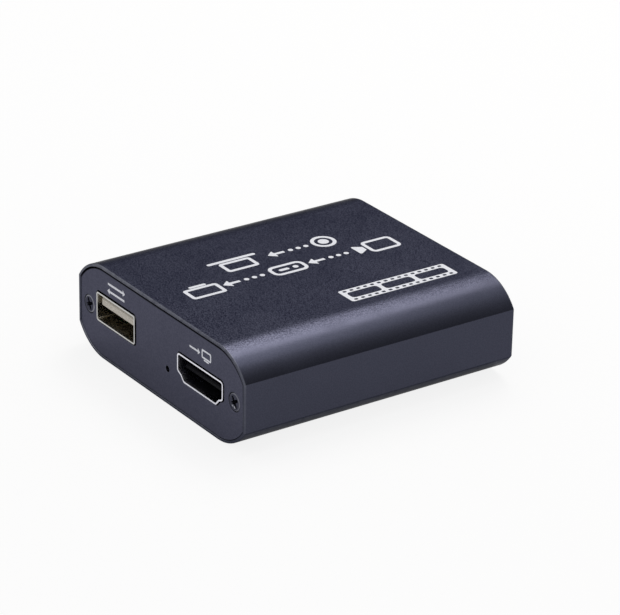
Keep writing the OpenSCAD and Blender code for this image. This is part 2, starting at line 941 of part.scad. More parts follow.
module video_out_contacts() {
    color("#d8b45a")
        at_front(video_out_x)
            video_contact_strips();
}

module video_in_shell() {
    color("#c9cbd0")
        at_rear(video_in_x)
            video_shell_form();
}

module video_in_tongue() {
    color("#1a1a1c")
        at_rear(video_in_x)
            video_tongue_form();
}

module video_in_contacts() {
    color("#d8b45a")
        at_rear(video_in_x)
            video_contact_strips();
}

// Chips

// A chip's body of the size w by l by h on its lift, with the dimple that marks its first lead
module chip_body(w, l, h, lift) {
    difference() {
        translate([-w / 2, -l / 2, lift])
            cube([w, l, h]);
        translate([dimple_inset - w / 2, l / 2 - dimple_inset, lift + h - dimple_depth])
            cylinder(d = dimple_d, h = dimple_depth + over);
    }
}

// A row of n bent leads along x that leave a body's face at y = 0 at the height z
module lead_row(n, pitch, w, z) {
    for (i = [0:n - 1])
        translate([(i - (n - 1) / 2) * pitch, 0, 0])
            across_x(w)
                polygon(strip([
                    [0, z],
                    [lead_out, z],
                    [lead_l - lead_foot, lead_t / 2],
                    [lead_l, lead_t / 2]
                ], lead_t));
}

module at_memory() {
    on_board(-memory_x, memory_back - board_end)
        children();
}

module at_regulators() {
    for (i = [0, 1])
        on_board(capture_x - regulator_step / 2 + i * regulator_step, regulator_y)
            children();
}

module capture_chip() {
    color("#202124")
        on_board(capture_x, capture_y)
            chip_body(capture_w, capture_w, capture_h, 0);
}

module loop_chip() {
    color("#202124")
        on_board(video_out_x, 0)
            chip_body(loop_w, loop_w, loop_h, chip_lift);
}

module memory_chip() {
    color("#202124")
        at_memory()
            chip_body(memory_w, memory_l, memory_h, chip_lift);
}

module chip_leads() {
    color("#c4c6c9") {
        on_board(video_out_x, 0)
            for (turn = [0:90:270])
                rotate([0, 0, turn])
                    translate([0, loop_w / 2, 0])
                        lead_row(loop_leads, loop_pitch, lead_w, chip_lift + loop_h / 2);
        at_memory()
            for (turn = [90, 270])
                rotate([0, 0, turn])
                    translate([0, memory_w / 2, 0])
                        lead_row(memory_leads, memory_pitch, memory_lead_w, chip_lift + memory_h / 2);
        at_regulators() {
            translate([0, regulator_d / 2, 0])
                lead_row(1, regulator_pitch, regulator_tab_w, chip_lift + regulator_h / 2);
            rotate([0, 0, 180])
                translate([0, regulator_d / 2, 0])
                    lead_row(3, regulator_pitch, regulator_lead_w, chip_lift + regulator_h / 2);
        }
    }
}

// Parts beside the chips

module crystal() {
    linear_extrude(crystal_rim_h)
        stadium(crystal_l + 2 * crystal_rim, crystal_w + 2 * crystal_rim);
    linear_extrude(crystal_h)
        stadium(crystal_l, crystal_w);
}

module clock_crystals() {
    color("#b9bbbf") {
        on_board(capture_x, capture_crystal_y)
            crystal();
        on_board(crystal_x, crystal_y, 90)
            crystal();
    }
}

module voltage_regulators() {
    color("#202124")
        at_regulators()
            translate([-regulator_w / 2, -regulator_d / 2, chip_lift])
                cube([regulator_w, regulator_d, regulator_h]);
}

module power_inductor() {
    side = inductor_w / 2;
    cut = side - inductor_chamfer;
    color("#3b3b3d")
        on_board(inductor_x, regulator_y)
            difference() {
                linear_extrude(inductor_h)
                    polygon([
                        [cut, -side], [side, -cut], [side, cut], [cut, side],
                        [-cut, side], [-side, cut], [-side, -cut], [-cut, -side]
                    ]);
                translate([0, 0, inductor_h - inductor_gap_depth])
                    difference() {
                        cylinder(d = inductor_core_d + 2 * inductor_gap, h = inductor_gap_depth + over);
                        cylinder(d = inductor_core_d, h = inductor_gap_depth + over);
                    }
            }
}

module bulk_capacitor() {
    side = can_d / 2 + can_base_past;
    cut = side - can_base_chamfer;
    crimp = can_base_h + can_crimp_z;
    linear_extrude(can_base_h)
        polygon([[-side, -side], [cut, -side], [side, -cut], [side, cut], [cut, side], [-side, side]]);
    rotate_extrude()
        polygon([
            [0, can_base_h / 2],
            [can_d / 2, can_base_h / 2],
            [can_d / 2, crimp - can_crimp],
            [can_d / 2 - can_crimp, crimp],
            [can_d / 2, crimp + can_crimp],
            [can_d / 2, can_base_h + can_h - can_crimp],
            [can_d / 2 - can_crimp, can_base_h + can_h],
            [0, can_base_h + can_h]
        ]);
}

module bulk_capacitors() {
    color("#a9abb0")
        for (side = [-1, 1])
            on_board(capture_x + side * can_step / 2, can_y)
                bulk_capacitor();
}

// A small chip part of the height h, with a metal cap over each end
module small_part(h) {
    translate([-chip_l / 2 + cap_l / 2, -chip_w / 2 + cap_t, 0])
        cube([chip_l - cap_l, chip_w - 2 * cap_t, h - cap_t]);
    for (x = [-chip_l / 2, chip_l / 2 - cap_l])
        translate([x, -chip_w / 2, 0])
            cube([cap_l, chip_w, h]);
}

// Two small parts along each of the four sides of a square at the distance d from its middle
module around(d) {
    for (turn = [0:90:270], side = [-1, 1])
        rotate([0, 0, turn])
            translate([side * ceramic_step, d, 0])
                children();
}

module ceramic_capacitors() {
    color("#b08d5f") {
        on_board(capture_x, capture_y)
            around(capture_w / 2 + ceramic_gap)
                small_part(ceramic_h);
        on_board(video_out_x, 0)
            around(loop_w / 2 + lead_l + ceramic_gap)
                small_part(ceramic_h);
    }
}

// A row of n parts at the distance y from the middle of the board, behind each video socket
module behind_video_sockets(n, step, y) {
    for (i = [0:n - 1]) {
        on_board(video_out_x + (i - (n - 1) / 2) * step, -y)
            children();
        on_board(video_in_x + (i - (n - 1) / 2) * step, y)
            children();
    }
}

module chip_resistors() {
    color("#2b2c30")
        behind_video_sockets(resistor_count, resistor_step, resistor_y)
            rotate([0, 0, 90])
                small_part(resistor_h);
}

module surge_arrays() {
    color("#26272a")
        behind_video_sockets(surge_count, surge_step, surge_y)
            translate([-surge_l / 2, -surge_w / 2, 0])
                cube([surge_l, surge_w, surge_h]);
}

module status_led() {
    color("#eef0ea")
        on_board(lamp_x, -board_end) {
            translate([-lamp_w / 2, lamp_lens_l, 0])
                cube([lamp_w, lamp_d, lamp_h]);
            translate([0, lamp_d / 2, lamp_rise])
                rotate([90, 0, 0])
                    cylinder(d = lamp_lens_d, h = lamp_d / 2);
        }
}

housing_shell();
front_plate();
rear_plate();
front_screws();
rear_screws();
circuit_board();
data_socket_shell();
data_socket_tongue();
data_socket_contacts();
video_out_shell();
video_out_tongue();
video_out_contacts();
video_in_shell();
video_in_tongue();
video_in_contacts();
capture_chip();
loop_chip();
memory_chip();
chip_leads();
clock_crystals();
voltage_regulators();
power_inductor();
bulk_capacitors();
ceramic_capacitors();
chip_resistors();
surge_arrays();
status_led();
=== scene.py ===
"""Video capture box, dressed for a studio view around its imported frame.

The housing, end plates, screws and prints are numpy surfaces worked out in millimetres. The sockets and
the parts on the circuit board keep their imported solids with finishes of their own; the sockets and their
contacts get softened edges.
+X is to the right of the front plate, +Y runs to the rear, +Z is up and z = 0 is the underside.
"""

import logging
import math
from collections.abc import Callable, Sequence
from dataclasses import dataclass, field
from enum import Enum
from typing import Any, Protocol

import bmesh
import bpy
import numpy as np
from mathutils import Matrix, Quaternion, Vector
from mathutils.geometry import tessellate_polygon


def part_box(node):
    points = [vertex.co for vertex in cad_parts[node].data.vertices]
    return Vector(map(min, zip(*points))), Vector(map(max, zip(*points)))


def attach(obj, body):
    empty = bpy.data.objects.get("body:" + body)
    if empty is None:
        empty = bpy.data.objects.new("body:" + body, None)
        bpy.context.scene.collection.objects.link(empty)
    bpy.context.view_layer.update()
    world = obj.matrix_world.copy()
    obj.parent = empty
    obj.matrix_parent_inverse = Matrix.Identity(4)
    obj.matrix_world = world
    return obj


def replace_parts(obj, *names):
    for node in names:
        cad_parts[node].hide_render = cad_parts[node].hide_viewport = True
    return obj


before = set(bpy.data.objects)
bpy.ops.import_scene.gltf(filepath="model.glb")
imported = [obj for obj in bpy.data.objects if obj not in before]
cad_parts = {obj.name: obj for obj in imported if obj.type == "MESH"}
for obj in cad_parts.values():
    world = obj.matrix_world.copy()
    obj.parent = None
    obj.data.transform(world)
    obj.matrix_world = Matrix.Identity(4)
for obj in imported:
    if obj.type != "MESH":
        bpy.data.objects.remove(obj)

log = logging.getLogger("capture_box")

Array = np.ndarray
Pair = tuple[float, float]
Triple = tuple[float, float, float]
Colour = tuple[float, float, float, float]
Piece = bpy.types.Object

MM = 0.001
MERGE_MM = 1e-4
SMALL_CIRCLE_STEPS = 24
BODY = "root"


class End(Enum):
    """The two ends of the housing, by the sign of their outward Y."""

    FRONT = -1
    REAR = 1

    def part(self, name: str) -> str:
        """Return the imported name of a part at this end."""
        return f"{self.name.lower()}_{name}"


class Lay(Enum):
    """The planes that carry a print: which way its right and its top point, and which way it faces."""

    FRONT_PLATE = ((1, 0, 0), (0, 0, 1), (0, -1, 0))
    TOP = ((0, -1, 0), (1, 0, 0), (0, 0, 1))


class Grain(Enum):
    """How far a finish's grain is stretched along X, Y and Z."""

    EVEN = (1.0, 1.0, 1.0)
    DRAWN_ALONG_X = (0.06, 1.0, 1.0)
    DRAWN_ALONG_Y = (1.0, 0.06, 1.0)


def paint(code: str) -> Colour:
    """Turn a colour as it is seen, such as "#3a3c49", into linear light by the curve of sRGB.

    Args:
        code: six hexadecimal digits after a number sign.

    Returns:
        Red, green, blue and an alpha of 1.
    """
    seen = np.array([int(code[i:i + 2], 16) / 255 for i in (1, 3, 5)])
    linear = np.where(seen <= 0.04045, seen / 12.92, ((seen + 0.055) / 1.055) ** 2.4)
    return (*linear.tolist(), 1.0)


def box_mm(node: str) -> tuple[Array, Array]:
    """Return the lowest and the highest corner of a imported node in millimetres."""
    low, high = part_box(node)
    return np.array(low) / MM, np.array(high) / MM


def top_middle(node: str) -> Pair:
    """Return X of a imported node's middle and Z of its top in millimetres."""
    low, high = box_mm(node)
    return (low[0] + high[0]) / 2, high[2]


def in_scene(name: str, data: bpy.types.ID) -> Piece:
    """Make an object and link it to the scene.

    Args:
        name: the object's name.
        data: its mesh, light or camera.

    Returns:
        The new object.
    """
    made = bpy.data.objects.new(name, data)
    bpy.context.scene.collection.objects.link(made)
    return made


def aimed(made: Piece, place: Vector, aim: Vector, roll_deg: float) -> None:
    """Put a light or a camera at its place, point it and turn it about its axis.

    Args:
        made: object to place.
        place: where it stands.
        aim: point that it faces.
        roll_deg: turn about its own axis in degrees.
    """
    made.location = place
    made.rotation_mode = "QUATERNION"
    ahead = (aim - place).to_track_quat("-Z", "Y")
    made.rotation_quaternion = ahead @ Quaternion((0, 0, 1), math.radians(roll_deg))


# Outlines in a plane


def arc(centre: Sequence[float], radius: float, start: float, end: float, steps: int) -> Array:
    """Work out a circular arc: the centre plus the radius times the cosine and sine of even angles.

    Args:
        centre: centre of the arc.
        radius: radius of the arc.
        start: first angle in degrees.
        end: last angle in degrees.
        steps: number of steps between the first and the last point.

    Returns:
        Points of the arc, shape (steps + 1, 2).
    """
    angle = np.radians(np.linspace(start, end, steps + 1))
    return np.asarray(centre) + radius * np.stack([np.cos(angle), np.sin(angle)], axis=-1)


def circle(centre: Sequence[float], radius: float, steps: int = 48) -> Array:
    """Work out a closed circle, as an arc of a full turn without its last point."""
    return arc(centre, radius, 0, 360, steps)[:-1]


def unit(vectors: Array) -> Array:
    """Divide each vector by its length."""
    return vectors / np.linalg.norm(vectors, axis=-1, keepdims=True)


def moved(corners: Array, distance: float) -> Array:
    """Move a closed outline outwards.

    Each corner goes along the bisector of its two edges' outward normals, by the distance divided by the
    cosine of the angle between the bisector and a normal.

    Args:
        corners: corners in anticlockwise order, shape (n, 2).
        distance: distance from each edge to its new place.

    Returns:
        Corners of the new outline, shape (n, 2).
    """
    along = unit(np.roll(corners, -1, axis=0) - corners)
    outward = np.stack([along[:, 1], -along[:, 0]], axis=-1)
    before = np.roll(outward, 1, axis=0)
    bisector = unit(before + outward)
    return corners + bisector * distance / np.sum(bisector * outward, axis=-1, keepdims=True)


def rounded(corners: Array, radius: float | Array, steps: int = 6) -> Array:
    """Round the corners of a closed outline.

    Each corner gives way to the arc that touches both its edges: the arc's centre lies on the bisector at
    the radius divided by the sine of half the corner's angle.

    Args:
        corners: corners in order, shape (n, 2).
        radius: one radius, or one for each corner.
        steps: number of steps in each arc.

    Returns:
        Points of the outline, shape (n * (steps + 1), 2).
    """
    radius = np.broadcast_to(np.asarray(radius, float), len(corners))[:, None]
    to_before = unit(np.roll(corners, 1, axis=0) - corners)
    to_after = unit(np.roll(corners, -1, axis=0) - corners)
    half = np.arccos(np.sum(to_before * to_after, axis=-1, keepdims=True)) / 2
    centre = corners + unit(to_before + to_after) * radius / np.sin(half)
    first = corners + to_before * radius / np.tan(half) - centre
    last = corners + to_after * radius / np.tan(half) - centre
    start = np.arctan2(first[:, 1], first[:, 0])
    turn = first[:, 0] * last[:, 1] - first[:, 1] * last[:, 0]
    sweep = np.arctan2(turn, np.sum(first * last, axis=-1))
    angle = start[:, None] + sweep[:, None] * np.linspace(0, 1, steps + 1)
    points = centre[:, None] + radius[:, None] * np.stack([np.cos(angle), np.sin(angle)], axis=-1)
    return points.reshape(-1, 2)


def rectangle(centre: Sequence[float], width: float, height: float) -> Array:
    """Work out the four corners of a rectangle, anticlockwise."""
    signs = np.array([[1, -1], [1, 1], [-1, 1], [-1, -1]])
    return np.asarray(centre) + signs * np.array([width, height]) / 2


def stood(outline: Array, depth: float | Array) -> Array:
    """Stand an outline of X and Z up at a place along Y."""
    depth = np.broadcast_to(depth, outline.shape[:-1])
    return np.stack([outline[..., 0], depth, outline[..., 1]], axis=-1)


# Surfaces


class Skin:
    """Surface of one piece, gathered from grids and flat faces in millimetres.

    Each point also stores its wear and painted light, from -1 for painted shade in a recess or a gap to 1 for
    a bare edge, where the wear is partly a painted highlight.
    """

    def __init__(self) -> None:
        """Start with no faces."""
        self.points: list[Array] = []
        self.worn: list[Array] = []
        self.faces: list[list[int]] = []
        self.smooth: list[bool] = []
        self.count = 0

    def keep(self, points: Array, worn: float | Array) -> int:
        """Store points with their wear.

        Args:
            points: points of any grid, with X, Y and Z last.
            worn: one wear, or one for each point.

        Returns:
            Number of the first stored point.
        """
        first = self.count
        flat = points.reshape(-1, 3)
        self.points.append(flat)
        self.worn.append(np.broadcast_to(worn, points.shape[:-1]).reshape(-1))
        self.count += len(flat)
        return first

    def grid(self, points: Array, closed: tuple[bool, bool], worn: float | Array = 0.0,
             smooth: bool = True) -> None:
        """Add the quads between neighbours of a grid.

        Args:
            points: grid of points, shape (rows, columns, 3).
            closed: whether the last row joins the first, and the last column the first.
            worn: wear at each point.
            smooth: whether the faces are shaded as one curved surface.
        """
        rows, columns = points.shape[:2]
        first = self.keep(points, worn)
        row = np.arange(rows if closed[0] else rows - 1)[:, None]
        column = np.arange(columns if closed[1] else columns - 1)[None, :]
        next_row = (row + 1) % rows
        next_column = (column + 1) % columns
        quads = np.stack([
            row * columns + column,
            next_row * columns + column,
            next_row * columns + next_column,
            row * columns + next_column,
        ], axis=-1).reshape(-1, 4) + first
        self.faces.extend(quads.tolist())
        self.smooth.extend([smooth] * len(quads))

    def flat(self, loops: Sequence[Array]) -> None:
        """Fill a flat outline, less its holes, with triangles.

        Args:
            loops: the outline and then its holes, each of shape (n, 3).
        """
        first = self.keep(np.concatenate(loops), 0.0)
        triangles = np.array(tessellate_polygon([loop.tolist() for loop in loops])) + first
        self.faces.extend(triangles.tolist())
        self.smooth.extend([False] * len(triangles))

    def piece(self, name: str, finish: "Finish") -> Piece:
        """Close the seams, turn the faces outwards and make the object.

        Args:
            name: the piece's name.
            finish: the finish that it wears.

        Returns:
            The new object, which rides on the housing's body.
        """
        mesh = bpy.data.meshes.new(name)
        mesh.from_pydata((np.concatenate(self.points) * MM).tolist(), [], self.faces)
        mesh.polygons.foreach_set("use_smooth", self.smooth)
        attribute = mesh.attributes.new(EdgeWearAndPaintedLight.attribute, "FLOAT", "POINT")
        attribute.data.foreach_set("value", np.concatenate(self.worn).astype(np.float32))
        work = bmesh.new()
        work.from_mesh(mesh)
        bmesh.ops.remove_doubles(work, verts=work.verts, dist=MERGE_MM * MM)
        bmesh.ops.recalc_face_normals(work, faces=work.faces)
        work.to_mesh(mesh)
        work.free()
        made = in_scene(name, mesh)
        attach(made, BODY)
        finish.dress(made)
        return made


# Finishes


class Canvas:
    """Node tree with short calls that add, set and join its nodes."""

    def __init__(self, tree: bpy.types.NodeTree) -> None:
        """Take the tree to draw on and clear it."""
        self.tree = tree
        tree.nodes.clear()

    def add(self, kind: str, inputs: dict[str | int, Any] | None = None, **settings: Any) -> bpy.types.Node:
        """Add a node.

        Args:
            kind: Blender's name of the node's type.
            inputs: a value to set, or a socket to join, for each named or numbered input.
            settings: the node's own properties.

        Returns:
            The new node.
        """
        node = self.tree.nodes.new(kind)
        for name, value in settings.items():
            setattr(node, name, value)
        for key, value in (inputs or {}).items():
            if isinstance(value, bpy.types.NodeSocket):
                self.tree.links.new(value, node.inputs[key])
            else:
                node.inputs[key].default_value = value
        return node

    def math(self, operation: str, first: Any, second: Any = 0.0, clamp: bool = False) -> Any:
        """Work out one sum of two values and return its socket."""
        inputs = {0: first, 1: second}
        return self.add("ShaderNodeMath", inputs, operation=operation, use_clamp=clamp).outputs[0]

    def blend(self, share: Any, low: Any, high: Any) -> Any:
        """Mix two colours by a share and return the mixed colour."""
        return self.add("ShaderNodeMix", {0: share, 6: low, 7: high}, data_type="RGBA").outputs[2]

    def ramp(self, value: Any, source: Pair, target: Pair = (0.0, 1.0)) -> Any:
        """Carry a value smoothly from one range to another, held at both ends.

        Args:
            value: value to carry.
            source: the value's range.
            target: range of the result.

        Returns:
            Socket of the result.
        """
        node = self.add("ShaderNodeMapRange", {
            "Value": value, "From Min": source[0], "From Max": source[1],
            "To Min": target[0], "To Max": target[1],
        }, interpolation_type="SMOOTHSTEP")
        return node.outputs["Result"]

    def place(self) -> Any:
        """Return the surface's place in the object's own coordinates."""
        return self.add("ShaderNodeTexCoord").outputs["Object"]

    def axis(self, vector: Any, name: str) -> Any:
        """Return a vector's X, Y or Z."""
        return self.add("ShaderNodeSeparateXYZ", {0: vector}).outputs[name]

    def noise(self, place: Any, scale: Any, detail: float, bend: float = 0.0) -> Any:
        """Add a noise pattern and return its value."""
        inputs = {"Vector": place, "Scale": scale, "Detail": detail, "Distortion": bend}
        return self.add("ShaderNodeTexNoise", inputs).outputs["Fac"]


class SharedGroup:
    """Shader node group that several finishes place with values of their own."""

    name = ""
    inputs: dict[str, float] = {}
    outputs: tuple[str, ...] = ()

    @classmethod
    def draw(cls, canvas: Canvas, given: Any) -> dict[str, Any]:
        """Draw the group's nodes and return the socket for each output."""
        raise NotImplementedError

    @classmethod
    def tree(cls) -> bpy.types.NodeTree:
        """Build the group at its first use.

        Returns:
            The group's tree.
        """
        found = bpy.data.node_groups.get(cls.name)
        if found:
            return found
        made = bpy.data.node_groups.new(cls.name, "ShaderNodeTree")
        for name, value in cls.inputs.items():
            socket = made.interface.new_socket(name, in_out="INPUT", socket_type="NodeSocketFloat")
            socket.default_value = value
        for name in cls.outputs:
            made.interface.new_socket(name, in_out="OUTPUT", socket_type="NodeSocketFloat")
        canvas = Canvas(made)
        given = canvas.add("NodeGroupInput")
        canvas.add("NodeGroupOutput", cls.draw(canvas, given.outputs))
        return made

    @classmethod
    def put(cls, canvas: Canvas, **values: Any) -> Any:
        """Put the group with its values on a material's canvas and return its outputs."""
        inputs = {name.capitalize(): value for name, value in values.items()}
        return canvas.add("ShaderNodeGroup", inputs, node_tree=cls.tree()).outputs


class FineGrain(SharedGroup):
    """Fine relief of a blasted, moulded or drawn surface, with a slower change of tone."""

    name = "fine_grain"
    inputs = {"Scale": 6000.0, "X": 1.0, "Y": 1.0, "Z": 1.0}
    outputs = ("Height", "Tone")
    detail = 2.0
    tone_detail = 1.0
    tone_share = 0.85
    tone_reach = (0.36, 0.64)

    @classmethod
    def draw(cls, canvas: Canvas, given: Any) -> dict[str, Any]:
        """Stretch the place along the axes, then take a fine noise and a slower one.

        Args:
            canvas: canvas of the group's tree.
            given: the group's inputs.

        Returns:
            Sockets of the height and the tone.
        """
        stretch = canvas.add("ShaderNodeCombineXYZ", {axis: given[axis] for axis in "XYZ"}).outputs[0]
        factors = {0: canvas.place(), 1: stretch}
        drawn = canvas.add("ShaderNodeVectorMath", factors, operation="MULTIPLY").outputs[0]
        slower = canvas.math("MULTIPLY", given["Scale"], cls.tone_share)
        slow = canvas.noise(drawn, slower, cls.tone_detail)
        return {
            "Height": canvas.noise(drawn, given["Scale"], cls.detail),
            "Tone": canvas.ramp(slow, cls.tone_reach),
        }


class HandlingTone(SharedGroup):
    """Broad, soft patches where a surface was touched or wiped."""

    name = "handling_tone"
    inputs = {"Scale": 90.0}
    outputs = ("Patch",)
    detail = 3.0
    bend = 0.8
    reach = (0.35, 0.68)

    @classmethod
    def draw(cls, canvas: Canvas, given: Any) -> dict[str, Any]:
        """Take a slow noise whose place is bent."""
        wiped = canvas.noise(canvas.place(), given["Scale"], cls.detail, cls.bend)
        return {"Patch": canvas.ramp(wiped, cls.reach)}


class EdgeWearAndPaintedLight(SharedGroup):
    """Metal laid bare where the finish thins along an edge, partly painted highlight and reflection, and
    painted shade in recesses and gaps.
    """

    name = "edge_wear_and_painted_light"
    attribute = "worn"
    inputs = {"Scale": 900.0}
    outputs = ("BareAndHighlight", "Grime")
    detail = 3.0
    reach = (0.25, 0.7)
    share = (0.55, 1.0)

    @classmethod
    def draw(cls, canvas: Canvas, given: Any) -> dict[str, Any]:
        """Read the wear and painted light stored on the surface, and break its positive part up by a noise;
        the negative part is painted shade.

        Args:
            canvas: canvas of the group's tree.
            given: the group's inputs.

        Returns:
            Sockets of the two masks.
        """
        stored = canvas.add("ShaderNodeAttribute", attribute_name=cls.attribute).outputs["Fac"]
        noise = canvas.noise(canvas.place(), given["Scale"], cls.detail)
        broken = canvas.ramp(noise, cls.reach, cls.share)
        return {
            "BareAndHighlight": canvas.math("MULTIPLY", stored, broken, clamp=True),
            "Grime": canvas.math("MULTIPLY", stored, -1.0, clamp=True),
        }


# Near-black painted shade, laid in recesses and gaps where shade falls.
PAINTED_SHADE = paint("#0c0c0f")


@dataclass(frozen=True)
class Finish:
    """Finish of a metal, plastic or ink surface.

    The colour wanders between two tones with the grain, the gloss with the handling, and the grain is
    raised by the relief in millimetres.
    """

    name: str
    slot: str | None
    colour: str
    deep_colour: str
    metallic: float = 0.0
    gloss: Pair = (0.4, 0.5)
    grain_mm: float = 0.15
    relief_mm: float = 0.002
    grain: Grain = Grain.EVEN
    # Colour of metal laid bare, also used for painted highlights, reflections and glints.
    worn_colour: str = ""
    specular: float = 0.5
    rim_tint: float = 1.0
    coat: float = 0.0
    coat_roughness: float = 0.3

    def colours(self, canvas: Canvas, tone: Any) -> Any:
        """Return the surface's colour from the grain's tone."""
        return canvas.blend(tone, paint(self.deep_colour), paint(self.colour))

    def material(self) -> bpy.types.Material:
        """Build the finish's material at its first use.

        Returns:
            The material.
        """
        found = bpy.data.materials.get(self.name)
        if found:
            return found
        made = bpy.data.materials.new(self.name)
        made.use_nodes = True
        canvas = Canvas(made.node_tree)
        x, y, z = self.grain.value
        grain = FineGrain.put(canvas, scale=1 / (self.grain_mm * MM), x=x, y=y, z=z)
        patch = HandlingTone.put(canvas)["Patch"]
        colour = self.colours(canvas, grain["Tone"])
        # Metal laid bare along the edges, partly painted highlight and reflection, then painted shade in
        # recesses and gaps.
        if self.worn_colour:
            wear = EdgeWearAndPaintedLight.put(canvas)
            colour = canvas.blend(wear["BareAndHighlight"], colour, paint(self.worn_colour))
            colour = canvas.blend(wear["Grime"], colour, PAINTED_SHADE)
        bump = canvas.add("ShaderNodeBump", {
            "Strength": 1.0, "Distance": self.relief_mm * MM, "Height": grain["Height"],
        })
        shader = canvas.add("ShaderNodeBsdfPrincipled", {
            "Base Color": colour,
            "Metallic": self.metallic,
            "Roughness": canvas.ramp(patch, (0.0, 1.0), self.gloss),
            "Specular IOR Level": self.specular,
            "Specular Tint": (self.rim_tint, self.rim_tint, self.rim_tint, 1.0),
            "Coat Weight": self.coat,
            "Coat Roughness": self.coat_roughness,
            "Normal": bump.outputs["Normal"],
        })
        canvas.add("ShaderNodeOutputMaterial", {"Surface": shader.outputs[0]})
        return made

    def dress(self, piece: Piece) -> None:
        """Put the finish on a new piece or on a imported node.

        Args:
            piece: object to dress.
        """
        made = self.material()
        if piece.material_slots:
            for place in piece.material_slots:
                place.material = made
        else:
            piece.data.materials.append(made)


@dataclass(frozen=True)
class ShellFinish(Finish):
    """Finish of the housing, whose grain shows on the flat top and fades down the sides."""

    fade_mm: Pair = (17.5, 18.5)
    low_grain: float = 0.15
    middle: float = 0.5

    def colours(self, canvas: Canvas, tone: Any) -> Any:
        """Draw the tone towards its middle by a share that grows with the height.

        Args:
            canvas: canvas of the material.
            tone: the grain's tone.

        Returns:
            Socket of the colour.
        """
        up = canvas.axis(canvas.place(), "Z")
        low, high = (height * MM for height in self.fade_mm)
        share = canvas.ramp(up, (low, high), (self.low_grain, 1.0))
        swing = canvas.math("MULTIPLY", canvas.math("SUBTRACT", tone, self.middle), share)
        return super().colours(canvas, canvas.math("ADD", swing, self.middle))


@dataclass(frozen=True)
class DepthShadedFinish(Finish):
    """Finish of a part inside a socket, with painted shade that darkens it with the depth behind the mouth.
    """

    shade_colour: str = "#1c1b19"
    mouth_mm: float = 29.0
    reach_mm: Pair = (0.25, 2.4)

    def colours(self, canvas: Canvas, tone: Any) -> Any:
        """Take the depth from the distance to the middle of the housing along Y.

        Args:
            canvas: canvas of the material.
            tone: the grain's tone.

        Returns:
            Socket of the colour.
        """
        along = canvas.axis(canvas.place(), "Y")
        near, far = ((self.mouth_mm - depth) * MM for depth in self.reach_mm)
        # Painted shade: darker with the depth behind the socket's mouth.
        depth_shade = canvas.ramp(canvas.math("ABSOLUTE", along), (far, near), (1.0, 0.0))
        return canvas.blend(depth_shade, super().colours(canvas, tone), paint(self.shade_colour))


@dataclass(frozen=True)
class Laminate(Finish):
    """Lacquered board with copper tracks that show paler through the lacquer."""

    track_colour: str = "#3f8a5c"
    track_mm: float = 1.1
    track_reach: Pair = (0.42, 0.5)
    wander: float = 0.8

    def colours(self, canvas: Canvas, tone: Any) -> Any:
        """Lay straight tracks, as the cells' borders of a square pattern, over the board's tone.

        Args:
            canvas: canvas of the material.
            tone: the grain's tone.

        Returns:
            Socket of the colour.
        """
        cells = canvas.add("ShaderNodeTexVoronoi", {
            "Vector": canvas.place(), "Scale": 1 / (self.track_mm * MM), "Randomness": self.wander,
        }, distance="MANHATTAN", feature="F1")
        track = canvas.ramp(cells.outputs["Distance"], self.track_reach)
        return canvas.blend(track, super().colours(canvas, tone), paint(self.track_colour))


ANODISED = ShellFinish(
    "blue_grey_anodising", "anodised_aluminium", "#4e505e", "#2b2c38", metallic=1.0, gloss=(0.28, 0.33),
    grain_mm=0.2, relief_mm=0.004, worn_colour="#8c8e96", rim_tint=0.39,
)
PLATE = Finish(
    "plate_anodising", "plate_aluminium", "#535463", "#4b4c5b", metallic=1.0, gloss=(0.3, 0.36),
    grain_mm=0.2, worn_colour="#6a6c77", rim_tint=0.5,
)
# The bright bare colour also paints the screws' ring highlight and glints.
BLACK_STEEL = Finish(
    "black_oxide_steel", "black_steel", "#50515d", "#41424d", metallic=1.0, gloss=(0.22, 0.3),
    grain_mm=0.1, worn_colour="#d8dae2", rim_tint=0.4,
)
# The socket finishes below take painted shade deeper inside their sockets.
DATA_STEEL = DepthShadedFinish(
    "nickel_plated_steel", "socket_steel", "#cacac8", "#bcbcba", metallic=1.0, gloss=(0.2, 0.3),
    grain_mm=0.06, relief_mm=0.0008, grain=Grain.DRAWN_ALONG_Y, shade_colour="#c8c2b2", reach_mm=(0.1, 1.2),
)
VIDEO_STEEL = DepthShadedFinish(
    "nickel_plated_steel_dark", "socket_steel", "#f2f2fa", "#e6e6ee", metallic=1.0, gloss=(0.2, 0.3),
    grain_mm=0.06, relief_mm=0.0008, grain=Grain.DRAWN_ALONG_Y, shade_colour="#8a8a9a", reach_mm=(0.1, 1.0),
)
CREAM_PLASTIC = DepthShadedFinish(
    "cream_moulding", "cream_plastic", "#c2bcb1", "#b4ada1", grain_mm=0.2, shade_colour="#5b5344",
    reach_mm=(3.0, 8.0),
)
BLACK_PLASTIC = Finish(
    "black_moulding", "black_plastic", "#101015", "#0b0b0f", gloss=(0.5, 0.6), grain_mm=0.2, specular=0.04,
)
GOLD = DepthShadedFinish(
    "gold_plated_contact", "gold_contact", "#c9a55c", "#b9944c", metallic=1.0, gloss=(0.2, 0.28),
    grain_mm=0.05, relief_mm=0.0005, grain=Grain.DRAWN_ALONG_Y, shade_colour="#3a301c", reach_mm=(0.0, 2.0),
)
CHIP_RESIN = Finish("moulded_resin", "chip_resin", "#232327", "#1b1b1e", gloss=(0.5, 0.6), grain_mm=0.08)
TINNED = Finish(
    "tinned_copper", "tinned_lead", "#cfd0d2", "#bdbec1", metallic=1.0, gloss=(0.3, 0.4), grain_mm=0.06,
    relief_mm=0.0008,
)
FERRITE = Finish("ferrite_core", "ferrite", "#3d3d40", "#323235", gloss=(0.5, 0.62), grain_mm=0.1)
CAN = Finish(
    "bright_can", "can_aluminium", "#c8c9cc", "#b8b9bd", metallic=1.0, gloss=(0.25, 0.32), grain_mm=0.08,
    relief_mm=0.0008, grain=Grain.DRAWN_ALONG_X,
)
